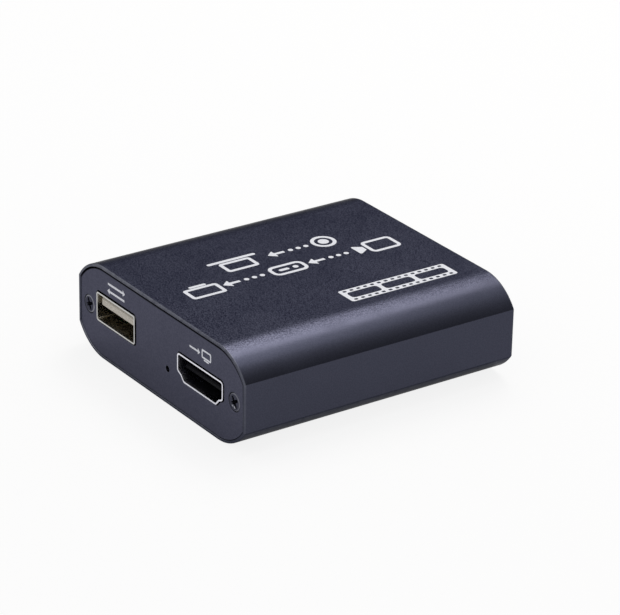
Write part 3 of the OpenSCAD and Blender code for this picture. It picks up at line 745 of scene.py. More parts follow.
CERAMIC = Finish("tan_ceramic", "ceramic_part", "#b39063", "#a07c50", grain_mm=0.1)
LAMP = Finish("lamp_lens", "lamp_plastic", "#edefe8", "#e2e5da", gloss=(0.2, 0.3), grain_mm=0.1, coat=0.5)
INK = Finish("white_print", None, "#e3e5ec", "#d6d8e0", gloss=(0.5, 0.6), grain_mm=0.12, relief_mm=0.001)
LAMINATE = Laminate(
    "lacquered_laminate", "board_laminate", "#1c5a3c", "#174d33", gloss=(0.25, 0.35), grain_mm=0.4,
    relief_mm=0.001,
)


# Housing


@dataclass(frozen=True)
class Rib:
    """Screw channel and board rails on one inner side of the housing."""

    screw_inset: float = 3.5
    bore_radius: float = 0.98
    channel_radius: float = 1.9
    slit: float = 0.7
    web: float = 2.4
    rail: float = 1.0
    bite: float = 1.0
    gap: float = 0.1
    steps: int = 12
    short_steps: int = 2


@dataclass
class Housing:
    """Extruded housing: a closed profile with four rounded edges, open at both ends for the end plates."""

    width: float
    depth: float
    height: float
    rebate: float
    board: Triple
    edge_radius: float = 10.2
    edge_run: float = 8.5
    wall: float = 1.2
    rim: float = 0.55
    crease_radius: float = 0.25
    rim_bevel: float = 0.28
    # The rim's bare bevel is partly wear and partly a painted highlight, lighter at the top and the left.
    rim_wear_and_highlight: float = 0.55
    low_highlight_share: float = 0.1
    right_highlight_share: float = 0.45
    # Painted reflection of the bright floor on the lower strip of the housing.
    floor_reflection: float = 0.36
    floor_reflection_reach: Pair = (4.0, 4.5)
    inner_bevel: float = 0.04
    support: float = 0.4
    wear_reach: float = 0.06
    arc_steps: int = 28
    crease_steps: int = 6
    bevel_steps: int = 6
    lengths: int = 12
    rib: Rib = field(default_factory=Rib)

    @classmethod
    def from_frame(cls) -> "Housing":
        """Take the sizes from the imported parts.

        Returns:
            The housing, with the plate's seat and with the board's half width, underside and top.
        """
        low, high = box_mm("housing_shell")
        board_low, board_high = box_mm("circuit_board")
        plate_back = box_mm(End.REAR.part("plate"))[0][1]
        width, depth, height = (high - low).tolist()
        return cls(width, depth, height, depth / 2 - plate_back, (board_high[0], board_low[2], board_high[2]))

    @property
    def flat_half(self) -> float:
        """Half the width of the flat top."""
        return self.width / 2 - self.edge_run

    @property
    def screw_places(self) -> Array:
        """X and Z of both screws of an end plate."""
        across = self.width / 2 - self.rib.screw_inset
        return np.array([[-across, self.height / 2], [across, self.height / 2]])

    def quadrant(self, inset: float) -> Array:
        """Work out the upper right quarter of the profile, from the side's middle to the top's middle.

        A small arc joins the flat side to the large arc of the edge: its centre lies one small radius
        inside the side and at the difference of both radii from the large arc's centre.

        Args:
            inset: distance by which the profile is drawn in.

        Returns:
            Points of X and Z.
        """
        side = self.width / 2 - inset
        top = self.height - inset
        large = self.edge_radius - inset
        small = self.crease_radius
        middle = np.array([self.flat_half, self.height - self.edge_radius])
        across = side - small - middle[0]
        rise = math.sqrt((large - small) ** 2 - across ** 2)
        meet = math.degrees(math.atan2(rise, across))
        crease = arc(middle + (across, rise), small, 0, meet, self.crease_steps)
        edge = arc(middle, large, meet, 90, self.arc_steps)[1:]
        before = np.array([[side, self.height / 2], [side, crease[0, 1] - self.support]])
        after = np.array([[middle[0] - self.support, top], [0, top]])
        return np.concatenate([before, crease, edge, after])

    def outline(self, inset: float) -> Array:
        """Mirror the quarter into the whole profile, anticlockwise from the middle of the right side.

        Args:
            inset: distance by which the profile is drawn in.

        Returns:
            Points of X and Z.
        """
        points = self.quadrant(inset)
        left = np.array([-1, 1])
        turned = np.array([0, self.height])
        return np.concatenate([
            points,
            points[::-1][1:] * left,
            turned - points[1:],
            turned - points[::-1][1:-1] * left,
        ])

    def stations(self) -> Array:
        """List the stations of the wall's path from one shoulder round the outside to the other.

        Returns:
            Inset, place along Y and wear of each station, partly a painted highlight, shape (n, 3).
        """
        end = self.depth / 2
        bevel = arc((self.rim_bevel, self.rim_bevel), self.rim_bevel, 270, 180, self.bevel_steps)
        worn = np.full((len(bevel), 1), self.rim_wear_and_highlight)
        first = np.concatenate([
            [[self.rim, self.rebate, 0.0], [self.rim, self.inner_bevel, 0.0]],
            [[self.rim - self.inner_bevel, 0.0, self.rim_wear_and_highlight]],
            np.concatenate([bevel, worn], axis=-1),
            [[0.0, self.rim_bevel + self.wear_reach, 0.0]],
        ]) - (0, end, 0)
        inner = end - self.rim_bevel - self.wear_reach
        along = np.linspace(-inner, inner, self.lengths)[1:-1]
        skin = np.stack([np.zeros_like(along), along, np.zeros_like(along)], axis=-1)
        last = first[::-1] * (1, -1, 1)
        return np.concatenate([first, skin, last])

    def half_cavity(self) -> Array:
        """Work out the right half of the cavity, from the middle of its floor to the middle of its top.

        The wall's profile is broken by two rails with the board's groove between them, and by the screw
        channel: a round rib on a web, with a bore that a slit opens inwards.

        Returns:
            Points of X and Z.
        """
        rib = self.rib
        board_half, board_low, board_high = self.board
        wall, radius = self.width / 2 - self.wall, self.edge_radius - self.wall
        rail_x = board_half - rib.bite
        centre = self.screw_places[1]
        low_arc = np.array([self.flat_half, self.edge_radius])
        levels = np.array([board_low - rib.gap - rib.rail, board_low - rib.gap])
        angles = -np.degrees(np.arcsin((self.edge_radius - levels) / radius))
        crease = -math.degrees(math.acos((wall - self.flat_half) / radius))
        upper = board_high + rib.gap
        web = math.degrees(math.asin(rib.web / 2 / rib.channel_radius))
        slit = math.degrees(math.asin(rib.slit / 2 / rib.channel_radius))
        bore = math.degrees(math.asin(rib.slit / 2 / rib.bore_radius))
        top_arc = np.array([self.flat_half, self.height - self.edge_radius])
        runs = [
            [[0, self.wall]],
            arc(low_arc, radius, -90, angles[0], rib.steps),
            [[rail_x, levels[0]], [rail_x, levels[1]]],
            arc(low_arc, radius, angles[1], crease, rib.short_steps),
            [[wall, upper], [rail_x, upper], [rail_x, upper + rib.rail], [wall, upper + rib.rail]],
            [[wall, centre[1] - rib.web / 2]],
            arc(centre, rib.channel_radius, -web, slit - 180, rib.steps),
            arc(centre, rib.bore_radius, bore - 180, 180 - bore, 2 * rib.steps),
            arc(centre, rib.channel_radius, 180 - slit, web, rib.steps),
            [[wall, centre[1] + rib.web / 2]],
            arc(top_arc, radius, -crease, 90, rib.steps),
            [[0, self.height - self.wall]],
        ]
        return np.concatenate([np.asarray(run, float) for run in runs])

    def cavity(self) -> Array:
        """Mirror the half into the whole cavity, anticlockwise from the middle of its floor."""
        half = self.half_cavity()
        return np.concatenate([half, half[::-1][1:-1] * (-1, 1)])

    def build(self) -> list[Piece]:
        """Carry the profile along the wall's path, then add both shoulders and the cavity.

        The rims' bare edge, partly wear and partly painted highlight, grows from a low share at the underside
        to the whole of it at the top, and fades from the left to the right. Below the sides, a painted
        reflection of the floor lightens the housing.

        Returns:
            The housing.
        """
        skin = Skin()
        stations = self.stations()
        points = np.stack([stood(self.outline(inset), y) for inset, y, _ in stations], axis=1)
        across, up = self.outline(0.0).T
        # Painted highlight: the rims' bare edge is lighter at the top and the left, where the light falls.
        share = np.interp(up, (0, self.height), (self.low_highlight_share, 1))
        share *= np.interp(across, (-self.width / 2, self.width / 2), (1, self.right_highlight_share))
        # Painted reflection: the strip below the sides is lightened as if it mirrored the bright floor.
        floor_reflected = np.interp(up, self.floor_reflection_reach, (self.floor_reflection, 0))
        rim = stations[:, 2]
        skin.grid(points, (True, False), np.where(rim > 0, share[:, None] * rim, floor_reflected[:, None]))
        cavity = self.cavity()
        shoulder = self.depth / 2 - self.rebate
        ends = (-shoulder, shoulder)
        skin.grid(np.stack([stood(cavity, y) for y in ends], axis=1), (True, False), smooth=False)
        for y in ends:
            skin.flat([stood(self.outline(self.rim), y), stood(cavity, y)])
        return [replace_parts(skin.piece("housing", ANODISED), "housing_shell")]


# End plates


class Mouth(Protocol):
    """Cut-out of an end plate."""

    def outline(self, grown: float) -> Array:
        """Return the cut-out's outline of X and Z, grown by a distance."""


@dataclass(frozen=True)
class DataMouth:
    """Cut-out for the data socket: its rounded rectangle with a clearance."""

    place: Pair
    width: float = 13.1
    height: float = 5.72
    corner: float = 0.6
    clearance: float = 0.28

    @classmethod
    def from_frame(cls, node: str) -> "DataMouth":
        """Centre the cut-out on a packed shell, with its top at the shell's top."""
        middle, top = top_middle(node)
        return cls((middle, top - cls.height / 2))

    def outline(self, grown: float) -> Array:
        """Work out the cut-out: the socket's rectangle, grown by the clearance and a distance.

        Args:
            grown: distance by which the cut-out is grown.

        Returns:
            Points of X and Z, anticlockwise.
        """
        grown += self.clearance
        sides = rectangle(self.place, self.width + 2 * grown, self.height + 2 * grown)
        return rounded(sides, self.corner + grown)


@dataclass(frozen=True)
class VideoMouth:
    """Cut-out for a video socket: wide above, narrow below, with a shallow step under each side."""

    place: Pair
    width: float = 14.0
    height: float = 4.55
    foot: float = 10.1
    shoulder: float = 1.5
    step_width: float = 1.0
    step_height: float = 0.45
    corner: float = 0.4
    knee: float = 0.1
    steel: float = 0.3
    clearance: float = 0.22

    @classmethod
    def from_frame(cls, node: str) -> "VideoMouth":
        """Put the middle of the narrow side under the middle of a packed shell's top."""
        middle, top = top_middle(node)
        return cls((middle, top - cls.steel - cls.height))

    def outline(self, grown: float) -> Array:
        """Work out the socket's opening, grown by its steel, the clearance and a distance.

        Args:
            grown: distance by which the cut-out is grown.

        Returns:
            Points of X and Z, anticlockwise.
        """
        grown += self.steel + self.clearance
        side = self.width / 2
        knee = [side - self.step_width, self.shoulder - self.step_height]
        half = np.array([[self.foot / 2, 0], knee, [side, self.shoulder], [side, self.height]])
        loop = np.concatenate([half, half[::-1] * (-1, 1)])
        out, inner = self.corner + grown, max(self.corner - grown, self.knee)
        radii = np.array([out, inner, out, out])
        return np.asarray(self.place) + rounded(moved(loop, grown), np.concatenate([radii, radii[::-1]]))


@dataclass(frozen=True)
class RoundMouth:
    """Round hole in front of the status lamp, or for a screw."""

    place: Pair
    radius: float = 0.6
    lamp_height: float = 6.86

    @classmethod
    def from_frame(cls, node: str) -> "RoundMouth":
        """Put the hole in front of a packed lamp's lens."""
        return cls((top_middle(node)[0], cls.lamp_height))

    def outline(self, grown: float) -> Array:
        """Work out the hole, grown by a distance."""
        return circle(self.place, self.radius + grown, SMALL_CIRCLE_STEPS)


@dataclass
class EndPlate:
    """End plate inside the housing's rim, with cut-outs for its sockets, its lamp and two sunk screws."""

    end: End
    housing: Housing
    mouths: list[Mouth]
    face: float
    thickness: float
    gap: float
    drop: float
    edge_bevel: float = 0.05
    cut_bevel: float = 0.07
    cut_wear: float = 0.2
    # Painted shade in the gap round the plate's rim, along its upper part.
    rim_painted_shade: float = 0.75
    grime_reach: Pair = (10.0, 14.0)
    margin: float = 0.12
    bevel_steps: int = 4
    hole_radius: float = 1.73
    hole_bevel: float = 0.14
    hole_edge: float = 0.21
    # Painted shade on the chamfer and the top of each screw hole's cone.
    hole_painted_shade: float = 0.8
    bore_radius: float = 0.98
    cone_end: float = 0.96

    @classmethod
    def from_frame(cls, end: End, housing: Housing, mouths: list[Mouth]) -> "EndPlate":
        """Take the plate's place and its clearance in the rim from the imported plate.

        Args:
            end: end of the housing that the plate closes.
            housing: the housing.
            mouths: cut-outs of the plate.

        Returns:
            The plate.
        """
        low, high = box_mm(end.part("plate"))
        face = max(abs(low[1]), abs(high[1]))
        gap = housing.width / 2 - housing.rim - high[0]
        drop = housing.height / 2 - (low[2] + high[2]) / 2
        return cls(end, housing, mouths, face, high[1] - low[1], gap, drop)

    def rim(self, grown: float) -> Array:
        """Return the plate's own outline, grown by a distance: the housing's, drawn in and dropped."""
        return self.housing.outline(self.housing.rim + self.gap - grown) - (0, self.drop)

    def wall(self, skin: Skin, loop: Callable[[float], Array], path: Array,
             share: float | Array = 1.0) -> tuple[Array, Array]:
        """Carry a loop along a path of growth and depth.

        Args:
            skin: surface that takes the wall.
            loop: function from growth to an outline of X and Z.
            path: growth, depth behind the face and wear of each station, where negative wear is painted
                shade, shape (n, 3).
            share: share of that wear and painted shade at each point of the loop.

        Returns:
            The loop at the plate's face and the loop at its back.
        """
        sign = self.end.value
        rows = [stood(loop(grown), sign * (self.face - depth)) for grown, depth in path[:, :2].tolist()]
        points = np.stack(rows, axis=1)
        skin.grid(points, (True, False), share * path[None, :, 2])
        return points[:, 0], points[:, -1]

    def edge_path(self, bevel: float, outward: int, worn: float) -> Array:
        """Work out a rounded edge and a straight wall, which takes the edge's painted shade but not its wear.

        Args:
            bevel: radius of the rounded edge.
            outward: 1 for the plate's rim, -1 for a cut-out.
            worn: wear of the rounded edge, or painted shade where it is negative.

        Returns:
            Growth, depth and wear of each station, shape (n, 3).
        """
        turn = arc((-bevel, bevel), bevel, 270, 360, self.bevel_steps)
        painted_shade = min(worn, 0.0)
        path = np.concatenate([
            [[-bevel - self.margin, 0, 0]],
            np.concatenate([turn, np.full((len(turn), 1), worn)], axis=-1),
            [[0, 2 * bevel, painted_shade], [0, self.thickness, painted_shade]],
        ])
        return path * (outward, 1, 1)

    def screw_path(self) -> Array:
        """List the stations of a countersunk hole: a small chamfer, the cone and the bore.

        Returns:
            Growth, depth and wear of each station, where negative wear is painted shade, shape (n, 3).
        """
        cone = self.bore_radius - self.hole_radius
        # The chamfer and the top of the cone take painted shade.
        edge, painted_shade = self.hole_bevel, -self.hole_painted_shade
        return np.array([
            [edge + self.margin, 0, 0], [edge, 0, 0], [0, edge, painted_shade], [0, self.hole_edge, painted_shade],
            [cone, self.cone_end, 0], [cone, self.thickness, 0],
        ])

    def build(self) -> list[Piece]:
        """Make the walls of the rim, the cut-outs and the screw holes, then fill the face and the back.

        Painted shade darkens the gap round the rim along its upper part, where the rim's shadow falls.

        Returns:
            The plate.
        """
        skin = Skin()
        # Painted shade: the rim's gap darkens towards the top, where the rim shades it.
        upper = np.interp(self.rim(0.0)[:, 1:], self.grime_reach, (0, 1))
        loops = [self.wall(skin, self.rim, self.edge_path(self.edge_bevel, 1, -self.rim_painted_shade), upper)]
        cut = self.edge_path(self.cut_bevel, -1, self.cut_wear)
        loops += [self.wall(skin, mouth.outline, cut) for mouth in self.mouths]
        for place in self.housing.screw_places:
            hole = RoundMouth(tuple(place), self.hole_radius)
            loops.append(self.wall(skin, hole.outline, self.screw_path()))
        skin.flat([face for face, _ in loops])
        skin.flat([back for _, back in loops])
        name = self.end.part("plate")
        return [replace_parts(skin.piece(f"{name}_dressed", PLATE), name)]


# Screws


@dataclass
class PlateScrews:
    """Two cross-head countersunk screws of one end plate."""

    end: End
    housing: Housing
    face: float
    sunk: float = 0.06
    head_radius: float = 1.7
    round_width: float = 0.34
    round_depth: float = 0.13
    # The rounded edge of each head is partly bare from wear and partly a painted highlight.
    ring_wear_and_highlight: Pair = (0.36, 0.2)
    head_edge: float = 0.15
    core_radius: float = 0.95
    cone_end: float = 0.96
    length: float = 7.0
    point: float = 0.8
    tip_radius: float = 0.5
    cross_length: float = 2.35
    cross_width: float = 0.64
    cross_turn_deg: Pair = (24.0, 32.0)
    cross_depth: float = 0.6
    cross_floor: float = 0.55
    # Painted shade inside the cross recess.
    cross_painted_shade: float = 1.0
    # Bare spots beside two arms, painted bright to stand for glints.
    glint_wear: Pair = (0.0, 0.75)
    glint_width: float = 0.2
    glint_start: float = 0.5
    slope: float = 0.09
    lip: float = 0.02
    fill: int = 4
    round_steps: int = 6

    @property
    def flat_radius(self) -> float:
        """Radius of the head's flat face, inside its rounded edge."""
        return self.head_radius - self.round_width

    @property
    def arm(self) -> float:
        """Half the width of the cross, as a share of the flat face."""
        return self.cross_width / 2 / self.flat_radius

    @property
    def reach(self) -> float:
        """Half the length of the cross, as a share of the flat face."""
        return self.cross_length / 2 / self.flat_radius

    def lines(self) -> Array:
        """List the grid lines of the head from -1 to 1, closer together where the recess drops.

        Returns:
            Places of the lines.
        """
        half = np.concatenate([
            [0.0, self.arm - self.slope - self.lip, self.arm - self.slope, self.arm],
            np.linspace(self.arm + self.lip, self.reach - self.slope - self.lip, self.fill),
            [self.reach - self.slope, self.reach], np.linspace(self.reach + self.lip, 1.0, self.fill),
        ])
        return np.concatenate([-half[:0:-1], half])

    def head(self, worn: float) -> tuple[Array, Array]:
        """Work out the head's flat face as a square grid carried to a disk.

        A grid place (x, y) goes to x times the root of (1 - y * y / 2), and the same for y. The recess is
        sunk where the place is within either arm of the cross, deepest in the middle, with painted shade
        inside. Beside two arms, near their ends, bare spots from the driver are painted bright as glints.

        Args:
            worn: brightness of the bare spots beside the arms, painted as glints.

        Returns:
            Points of right, depth and up in the head's own plane, and the wear and painted light there.
        """
        line = self.lines()
        x, y = np.meshgrid(line, line, indexing="ij")
        right = self.flat_radius * x * np.sqrt(1 - y * y / 2)
        up = self.flat_radius * y * np.sqrt(1 - x * x / 2)
        wide, narrow = np.maximum(abs(x), abs(y)), np.minimum(abs(x), abs(y))
        inside = (narrow < self.arm - self.slope / 2) & (wide < self.reach - self.slope / 2)
        # Painted glints: bare spots beside two arms near their ends.
        beside = (narrow > self.arm - self.lip / 2) & (narrow < self.arm + self.glint_width)
        outer = (wide > self.glint_start * self.reach) & (wide < self.reach)
        glinting = beside & outer & (np.maximum(x, y) < 0)
        rounded_off = 1 - self.cross_floor * np.clip(wide / self.reach, 0, 1) ** 2
        depth = self.sunk + np.where(inside, self.cross_depth * rounded_off, 0.0)
        # Painted shade inside the recess, and the glints painted beside two arms.
        return np.stack([right, depth, up], axis=-1), np.where(inside, -self.cross_painted_shade, glinting * worn)

    def shank(self, border: Array, worn: float) -> tuple[Array, Array]:
        """Turn the head's border on along its rounded edge, cone, core and point.

        Args:
            border: points of the flat face's border, shape (n, 3).
            worn: wear of the rounded edge, partly a painted highlight.

        Returns:
            Grid of points, shape (n, stations, 3), and the wear, partly painted highlight, at each station.
        """
        turn = np.radians(np.linspace(0, 90, self.round_steps + 1))
        edge = np.stack([
            self.flat_radius + self.round_width * np.sin(turn),
            self.sunk + self.round_depth * (1 - np.cos(turn)),
        ], axis=-1)
        tail = np.array([
            [self.head_radius, self.sunk + self.head_edge], [self.core_radius, self.cone_end],
            [self.core_radius, self.length - self.point], [self.tip_radius, self.length], [0, self.length],
        ])
        path = np.concatenate([edge, tail])
        grid = border[:, None] / self.flat_radius * path[None, :, :1]
        grid[..., 1] = path[None, :, 1]
        return grid, np.concatenate([worn * np.sin(2 * turn), np.zeros(len(tail))])

    def placed(self, points: Array, place: Array, turn_deg: float) -> Array:
        """Turn points of right, depth and up about the screw's axis and carry them to its place.

        Args:
            points: points, with right, depth and up last.
            place: X and Z of the screw.
            turn_deg: anticlockwise turn of the head in degrees.

        Returns:
            Points of X, Y and Z.
        """
        sign = self.end.value
        cos, sin = math.cos(math.radians(turn_deg)), math.sin(math.radians(turn_deg))
        turned = points @ np.array([[cos, 0, sin], [0, 1, 0], [-sin, 0, cos]])
        return stood(place, sign * self.face) + turned * (-sign, -sign, 1)

    def build(self) -> list[Piece]:
        """Make both screws as one piece.

        Returns:
            The pair of screws.
        """
        skin = Skin()
        each = zip(self.housing.screw_places, self.cross_turn_deg, self.ring_wear_and_highlight, self.glint_wear)
        for place, turn, ring, glint in each:
            face, worn = self.head(glint)
            border = np.concatenate([face[:-1, 0], face[-1, :-1], face[:0:-1, -1], face[0, :0:-1]])
            shank, path_wear_and_highlight = self.shank(border, ring)
            skin.grid(self.placed(face, place, turn), (False, False), worn, smooth=False)
            skin.grid(self.placed(shank, place, turn), (True, False), path_wear_and_highlight[None, :])
        name = self.end.part("screws")
        return [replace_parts(skin.piece(f"{name}_dressed", BLACK_STEEL), name)]


# Prints


PRINT_LINE = 0.72


@dataclass
class Print:
    """White pictograms printed on one face, drawn to the right and up from a place on that face."""

    name: str
    lay: Lay
    place: Triple
    thickness: float = 0.012
    sunk: float = 0.01
    end_round: float = 0.49
    inner_corner: float = 0.25
    head_share: float = 0.6
    arrow_corner: float = 0.12
    arrow_steps: int = 3
    skin: Skin = field(default_factory=Skin)

    def on_face(self, outline: Array, rise: float) -> Array:
        """Carry an outline of right and up onto the face, raised by a distance."""
        right, up, out = (np.array(axis, float) for axis in self.lay.value)
        return np.array(self.place) + outline[:, :1] * right + outline[:, 1:] * up + rise * out

    def shape(self, outline: Array, *holes: Array) -> None:
        """Print a flat shape: a top, a base under the face and a wall along each loop.

        Args:
            outline: points of right and up.
            holes: outlines left bare inside it.
        """
        loops = (outline, *holes)
        for rise in (self.thickness, -self.sunk):
            self.skin.flat([self.on_face(loop, rise) for loop in loops])
        for loop in loops:
            wall = [self.on_face(loop, rise) for rise in (self.thickness, -self.sunk)]
            self.skin.grid(np.stack(wall, axis=1), (True, False), smooth=False)

    def bar(self, centre: Sequence[float], width: float, height: float) -> None:
        """Print a bar with round ends."""
        self.shape(rounded(rectangle(centre, width, height), self.end_round * min(width, height)))

    def border(self, centre: Sequence[float], width: float, height: float, line: float,
               corner: float) -> None:
        """Print a rounded border of an even line width.

        Args:
            centre: middle of the border.
            width: width over the lines.
            height: height over the lines.
            line: width of the line.
            corner: radius of the outer corners.
        """
        inner = rectangle(centre, width - 2 * line, height - 2 * line)
        self.shape(rounded(rectangle(centre, width, height), corner),
                   rounded(inner, max(corner - line, self.inner_corner * line)))

    def ring(self, centre: Sequence[float], radius: float, line: float) -> None:
        """Print a ring."""
        self.shape(circle(centre, radius), circle(centre, radius - line))

    def dots(self, first: Sequence[float], count: int, pitch: float, radius: float) -> None:
        """Print a row of dots to the right."""
        for step in range(count):
            self.shape(circle((first[0] + step * pitch, first[1]), radius, SMALL_CIRCLE_STEPS))

    def arrow(self, tail: Sequence[float], length: float, line: float, head: float) -> None:
        """Print an arrow to the right, or to the left where its length is negative.

        Args:
            tail: middle of the arrow's tail.
            length: length from the tail to the tip.
            line: width of the shaft.
            head: width of the head.
        """
        neck = abs(length) - self.head_share * head
        half = np.array([[0, -line / 2], [neck, -line / 2], [neck, -head / 2], [abs(length), 0]])
        loop = np.concatenate([half, half[2::-1] * (1, -1)])
        turned = loop * (np.sign(length), np.sign(length))
        self.shape(np.asarray(tail) + rounded(turned, self.arrow_corner * line, self.arrow_steps))

    def build(self) -> list[Piece]:
        """Make the print's one piece."""
        return [self.skin.piece(self.name, INK)]


@dataclass(frozen=True)
class FilmStrip:
    """Printed strip of film: a solid band with picture openings between two rows of small holes."""

    centre: Pair = (-12.15, 15.0)
    width: float = 23.3
    height: float = 4.9
    corner: float = 0.5
    pictures: int = 3
    picture: Pair = (6.5, 2.3)
    picture_pitch: float = 7.4
    holes: int = 15
    hole: Pair = (0.75, 0.6)
    hole_pitch: float = 1.5
    hole_inset: float = 0.65
    opening_corner: float = 0.3
    corner_steps: int = 4

    def row(self, count: int, pitch: float, size: Pair, rise: float) -> list[Array]:
        """Work out a centred row of rounded openings.

        Args:
            count: number of openings.
            pitch: distance from one to the next.
            size: width and height of an opening.
            rise: height of the row above the strip's middle.

        Returns:
            The openings' outlines.
        """
        first = self.centre[0] - (count - 1) / 2 * pitch
        places = [(first + k * pitch, self.centre[1] + rise) for k in range(count)]
        corner = self.opening_corner * min(size)
        return [rounded(rectangle(place, *size), corner, self.corner_steps) for place in places]

    def draw(self, made: Print) -> None:
        """Print the strip.

        Args:
            made: print that takes it.
        """
        edge = self.height / 2 - self.hole_inset
        openings = self.row(self.pictures, self.picture_pitch, self.picture, 0.0)
        for side in (-1, 1):
            openings += self.row(self.holes, self.hole_pitch, self.hole, side * edge)
        made.shape(rounded(rectangle(self.centre, self.width, self.height), self.corner), *openings)


@dataclass(frozen=True)
class Screen:
    """Printed screen: a rounded border with a bar below it."""

    centre: Pair
    size: Pair
    corner: float
    foot: Pair
    foot_drop: float
    line: float = PRINT_LINE

    def draw(self, made: Print) -> None:
        """Print the screen and its foot."""
        made.border(self.centre, *self.size, self.line, self.corner)
        made.bar((self.centre[0], self.centre[1] - self.foot_drop), *self.foot)


@dataclass
class Prints:
    """All prints: a signal path and a film strip on the top, and a mark above each front socket."""

    housing: Housing
    face: float
    line: float = PRINT_LINE
    dot: float = 0.5
    pitch: float = 1.7
    tail_gap: float = 1.4
    arrow: Pair = (3.6, 2.6)
    row: float = -0.65
    second_row: float = -7.25
    step_starts: Triple = (-11.8, 6.6, -7.4)
    camera_x: float = -19.6
    camera_size: Pair = (6.6, 5.0)
    camera_corner: float = 1.1
    lens_reach: Pair = (-15.9, -13.9)
    lens_half: Pair = (0.7, 1.9)
    lens_corner: float = 0.3
    box_x: float = 1.0
    box_size: Pair = (7.6, 4.0)
    box_corner: float = 1.5
    box_dot: Pair = (-0.6, 0.55)
    box_bar_x: float = 1.9
    box_bar: Pair = (2.2, 0.8)
    record_x: float = -11.3
    record_radii: Pair = (2.45, 1.05)
    screen: Screen = Screen((19.1, -0.25), (7.2, 4.2), 0.7, (3.6, 0.7), 2.6)
    computer: Screen = Screen((7.6, -6.75), (6.8, 4.0), 0.7, (10.4, 0.8), 2.65)
    film: FilmStrip = FilmStrip()
    swap_tails: tuple[Pair, Pair] = ((-17.3, 15.75), (-11.7, 14.35))
    swap_length: float = 5.8
    swap_line: Pair = (0.42, 1.25)
    out_tail: Pair = (9.9, 14.3)
    out_length: float = 3.4
    out_line: Pair = (0.36, 1.2)
    out_screen: Screen = Screen((15.3, 14.45), (3.0, 1.7), 0.3, (1.6, 0.3), 1.1, line=0.32)

    def step(self, made: Print, place: Pair) -> None:
        """Print three dots and an arrow after them.

        Args:
            made: print that takes them.
            place: middle of the first dot.
        """
        made.dots(place, 3, self.pitch, self.dot)
        tail = (place[0] + 2 * self.pitch + self.tail_gap, place[1])
        made.arrow(tail, self.arrow[0], self.line, self.arrow[1])

    def top(self) -> Print:
        """Draw a camera, a box and a screen in one row, a record mark and a computer in another.

        Returns:
            The print, with the film strip beside the rows.
        """
        made = Print("top_print", Lay.TOP, (0.0, 0.0, self.housing.height))
        row, second = self.row, self.second_row
        after_camera, after_box, after_record = self.step_starts
        (near, far), (low, high) = self.lens_reach, self.lens_half
        lens = np.array([[near, -low], [far, -high], [far, high], [near, low]])
        made.border((self.camera_x, row), *self.camera_size, self.line, self.camera_corner)
        made.shape(rounded(lens + (0, row), self.lens_corner))
        self.step(made, (after_camera, row))
        made.border((self.box_x, row), *self.box_size, self.line, self.box_corner)
        made.dots((self.box_dot[0], row), 1, 0.0, self.box_dot[1])
        made.bar((self.box_bar_x, row), *self.box_bar)
        self.step(made, (after_box, row))
        self.screen.draw(made)
        made.ring((self.record_x, second), self.record_radii[0], self.line)
        made.dots((self.record_x, second), 1, 0.0, self.record_radii[1])
        self.step(made, (after_record, second))
        self.computer.draw(made)
        self.film.draw(made)
        return made

    def front(self) -> Print:
        """Draw the marks above the front sockets: two opposite arrows, and an arrow to a screen.

        Returns:
            The print.
        """
        made = Print("front_print", Lay.FRONT_PLATE, (0.0, -self.face, 0.0))
        for tail, way in zip(self.swap_tails, (1, -1)):
            made.arrow(tail, way * self.swap_length, *self.swap_line)
        made.arrow(self.out_tail, self.out_length, *self.out_line)
        self.out_screen.draw(made)
        return made

    def build(self) -> list[Piece]:
        """Make both prints, one piece for each face."""
        return [*self.top().build(), *self.front().build()]


# Sockets and board


@dataclass
class PackedParts:
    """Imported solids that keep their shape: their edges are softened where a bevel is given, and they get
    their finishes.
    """

    finishes: dict[str, Finish]
    bevel: float = 0.0
    segments: int = 2
    flat_angle: float = 2.0
    edge_angle: float = 35.0

    def soften(self, node: Piece) -> None:
        """Join the solid's triangles into faces and round its edges.

        Args:
            node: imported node, which keeps its own mesh under the modifiers.
        """
        weld = node.modifiers.new("weld", "WELD")
        weld.merge_threshold = MERGE_MM * MM
        faces = node.modifiers.new("faces", "DECIMATE")
        faces.decimate_type = "DISSOLVE"
        faces.angle_limit = math.radians(self.flat_angle)
        edges = node.modifiers.new("edges", "BEVEL")
        edges.width = self.bevel * MM
        edges.segments = self.segments
        edges.limit_method = "ANGLE"
        edges.angle_limit = math.radians(self.edge_angle)

    def build(self) -> list[Piece]:
        """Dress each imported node.

        Returns:
            The nodes.
        """
        nodes = [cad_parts[name] for name in self.finishes]
        for node, finish in zip(nodes, self.finishes.values()):
            if self.bevel:
                self.soften(node)
            finish.dress(node)
        return nodes


SOCKETS = {
    "data_socket_shell": DATA_STEEL, "video_out_shell": VIDEO_STEEL, "video_in_shell": VIDEO_STEEL,
    "data_socket_tongue": CREAM_PLASTIC, "video_out_tongue": BLACK_PLASTIC, "video_in_tongue": BLACK_PLASTIC,
}
CONTACTS = {"data_socket_contacts": GOLD, "video_out_contacts": GOLD, "video_in_contacts": GOLD}
BOARD = {
    "circuit_board": LAMINATE, "capture_chip": CHIP_RESIN, "loop_chip": CHIP_RESIN,
    "memory_chip": CHIP_RESIN, "voltage_regulators": CHIP_RESIN, "surge_arrays": CHIP_RESIN,
    "chip_leads": TINNED, "clock_crystals": CAN, "bulk_capacitors": CAN, "power_inductor": FERRITE,
    "ceramic_capacitors": CERAMIC, "chip_resistors": CHIP_RESIN, "status_led": LAMP,
}


# Studio


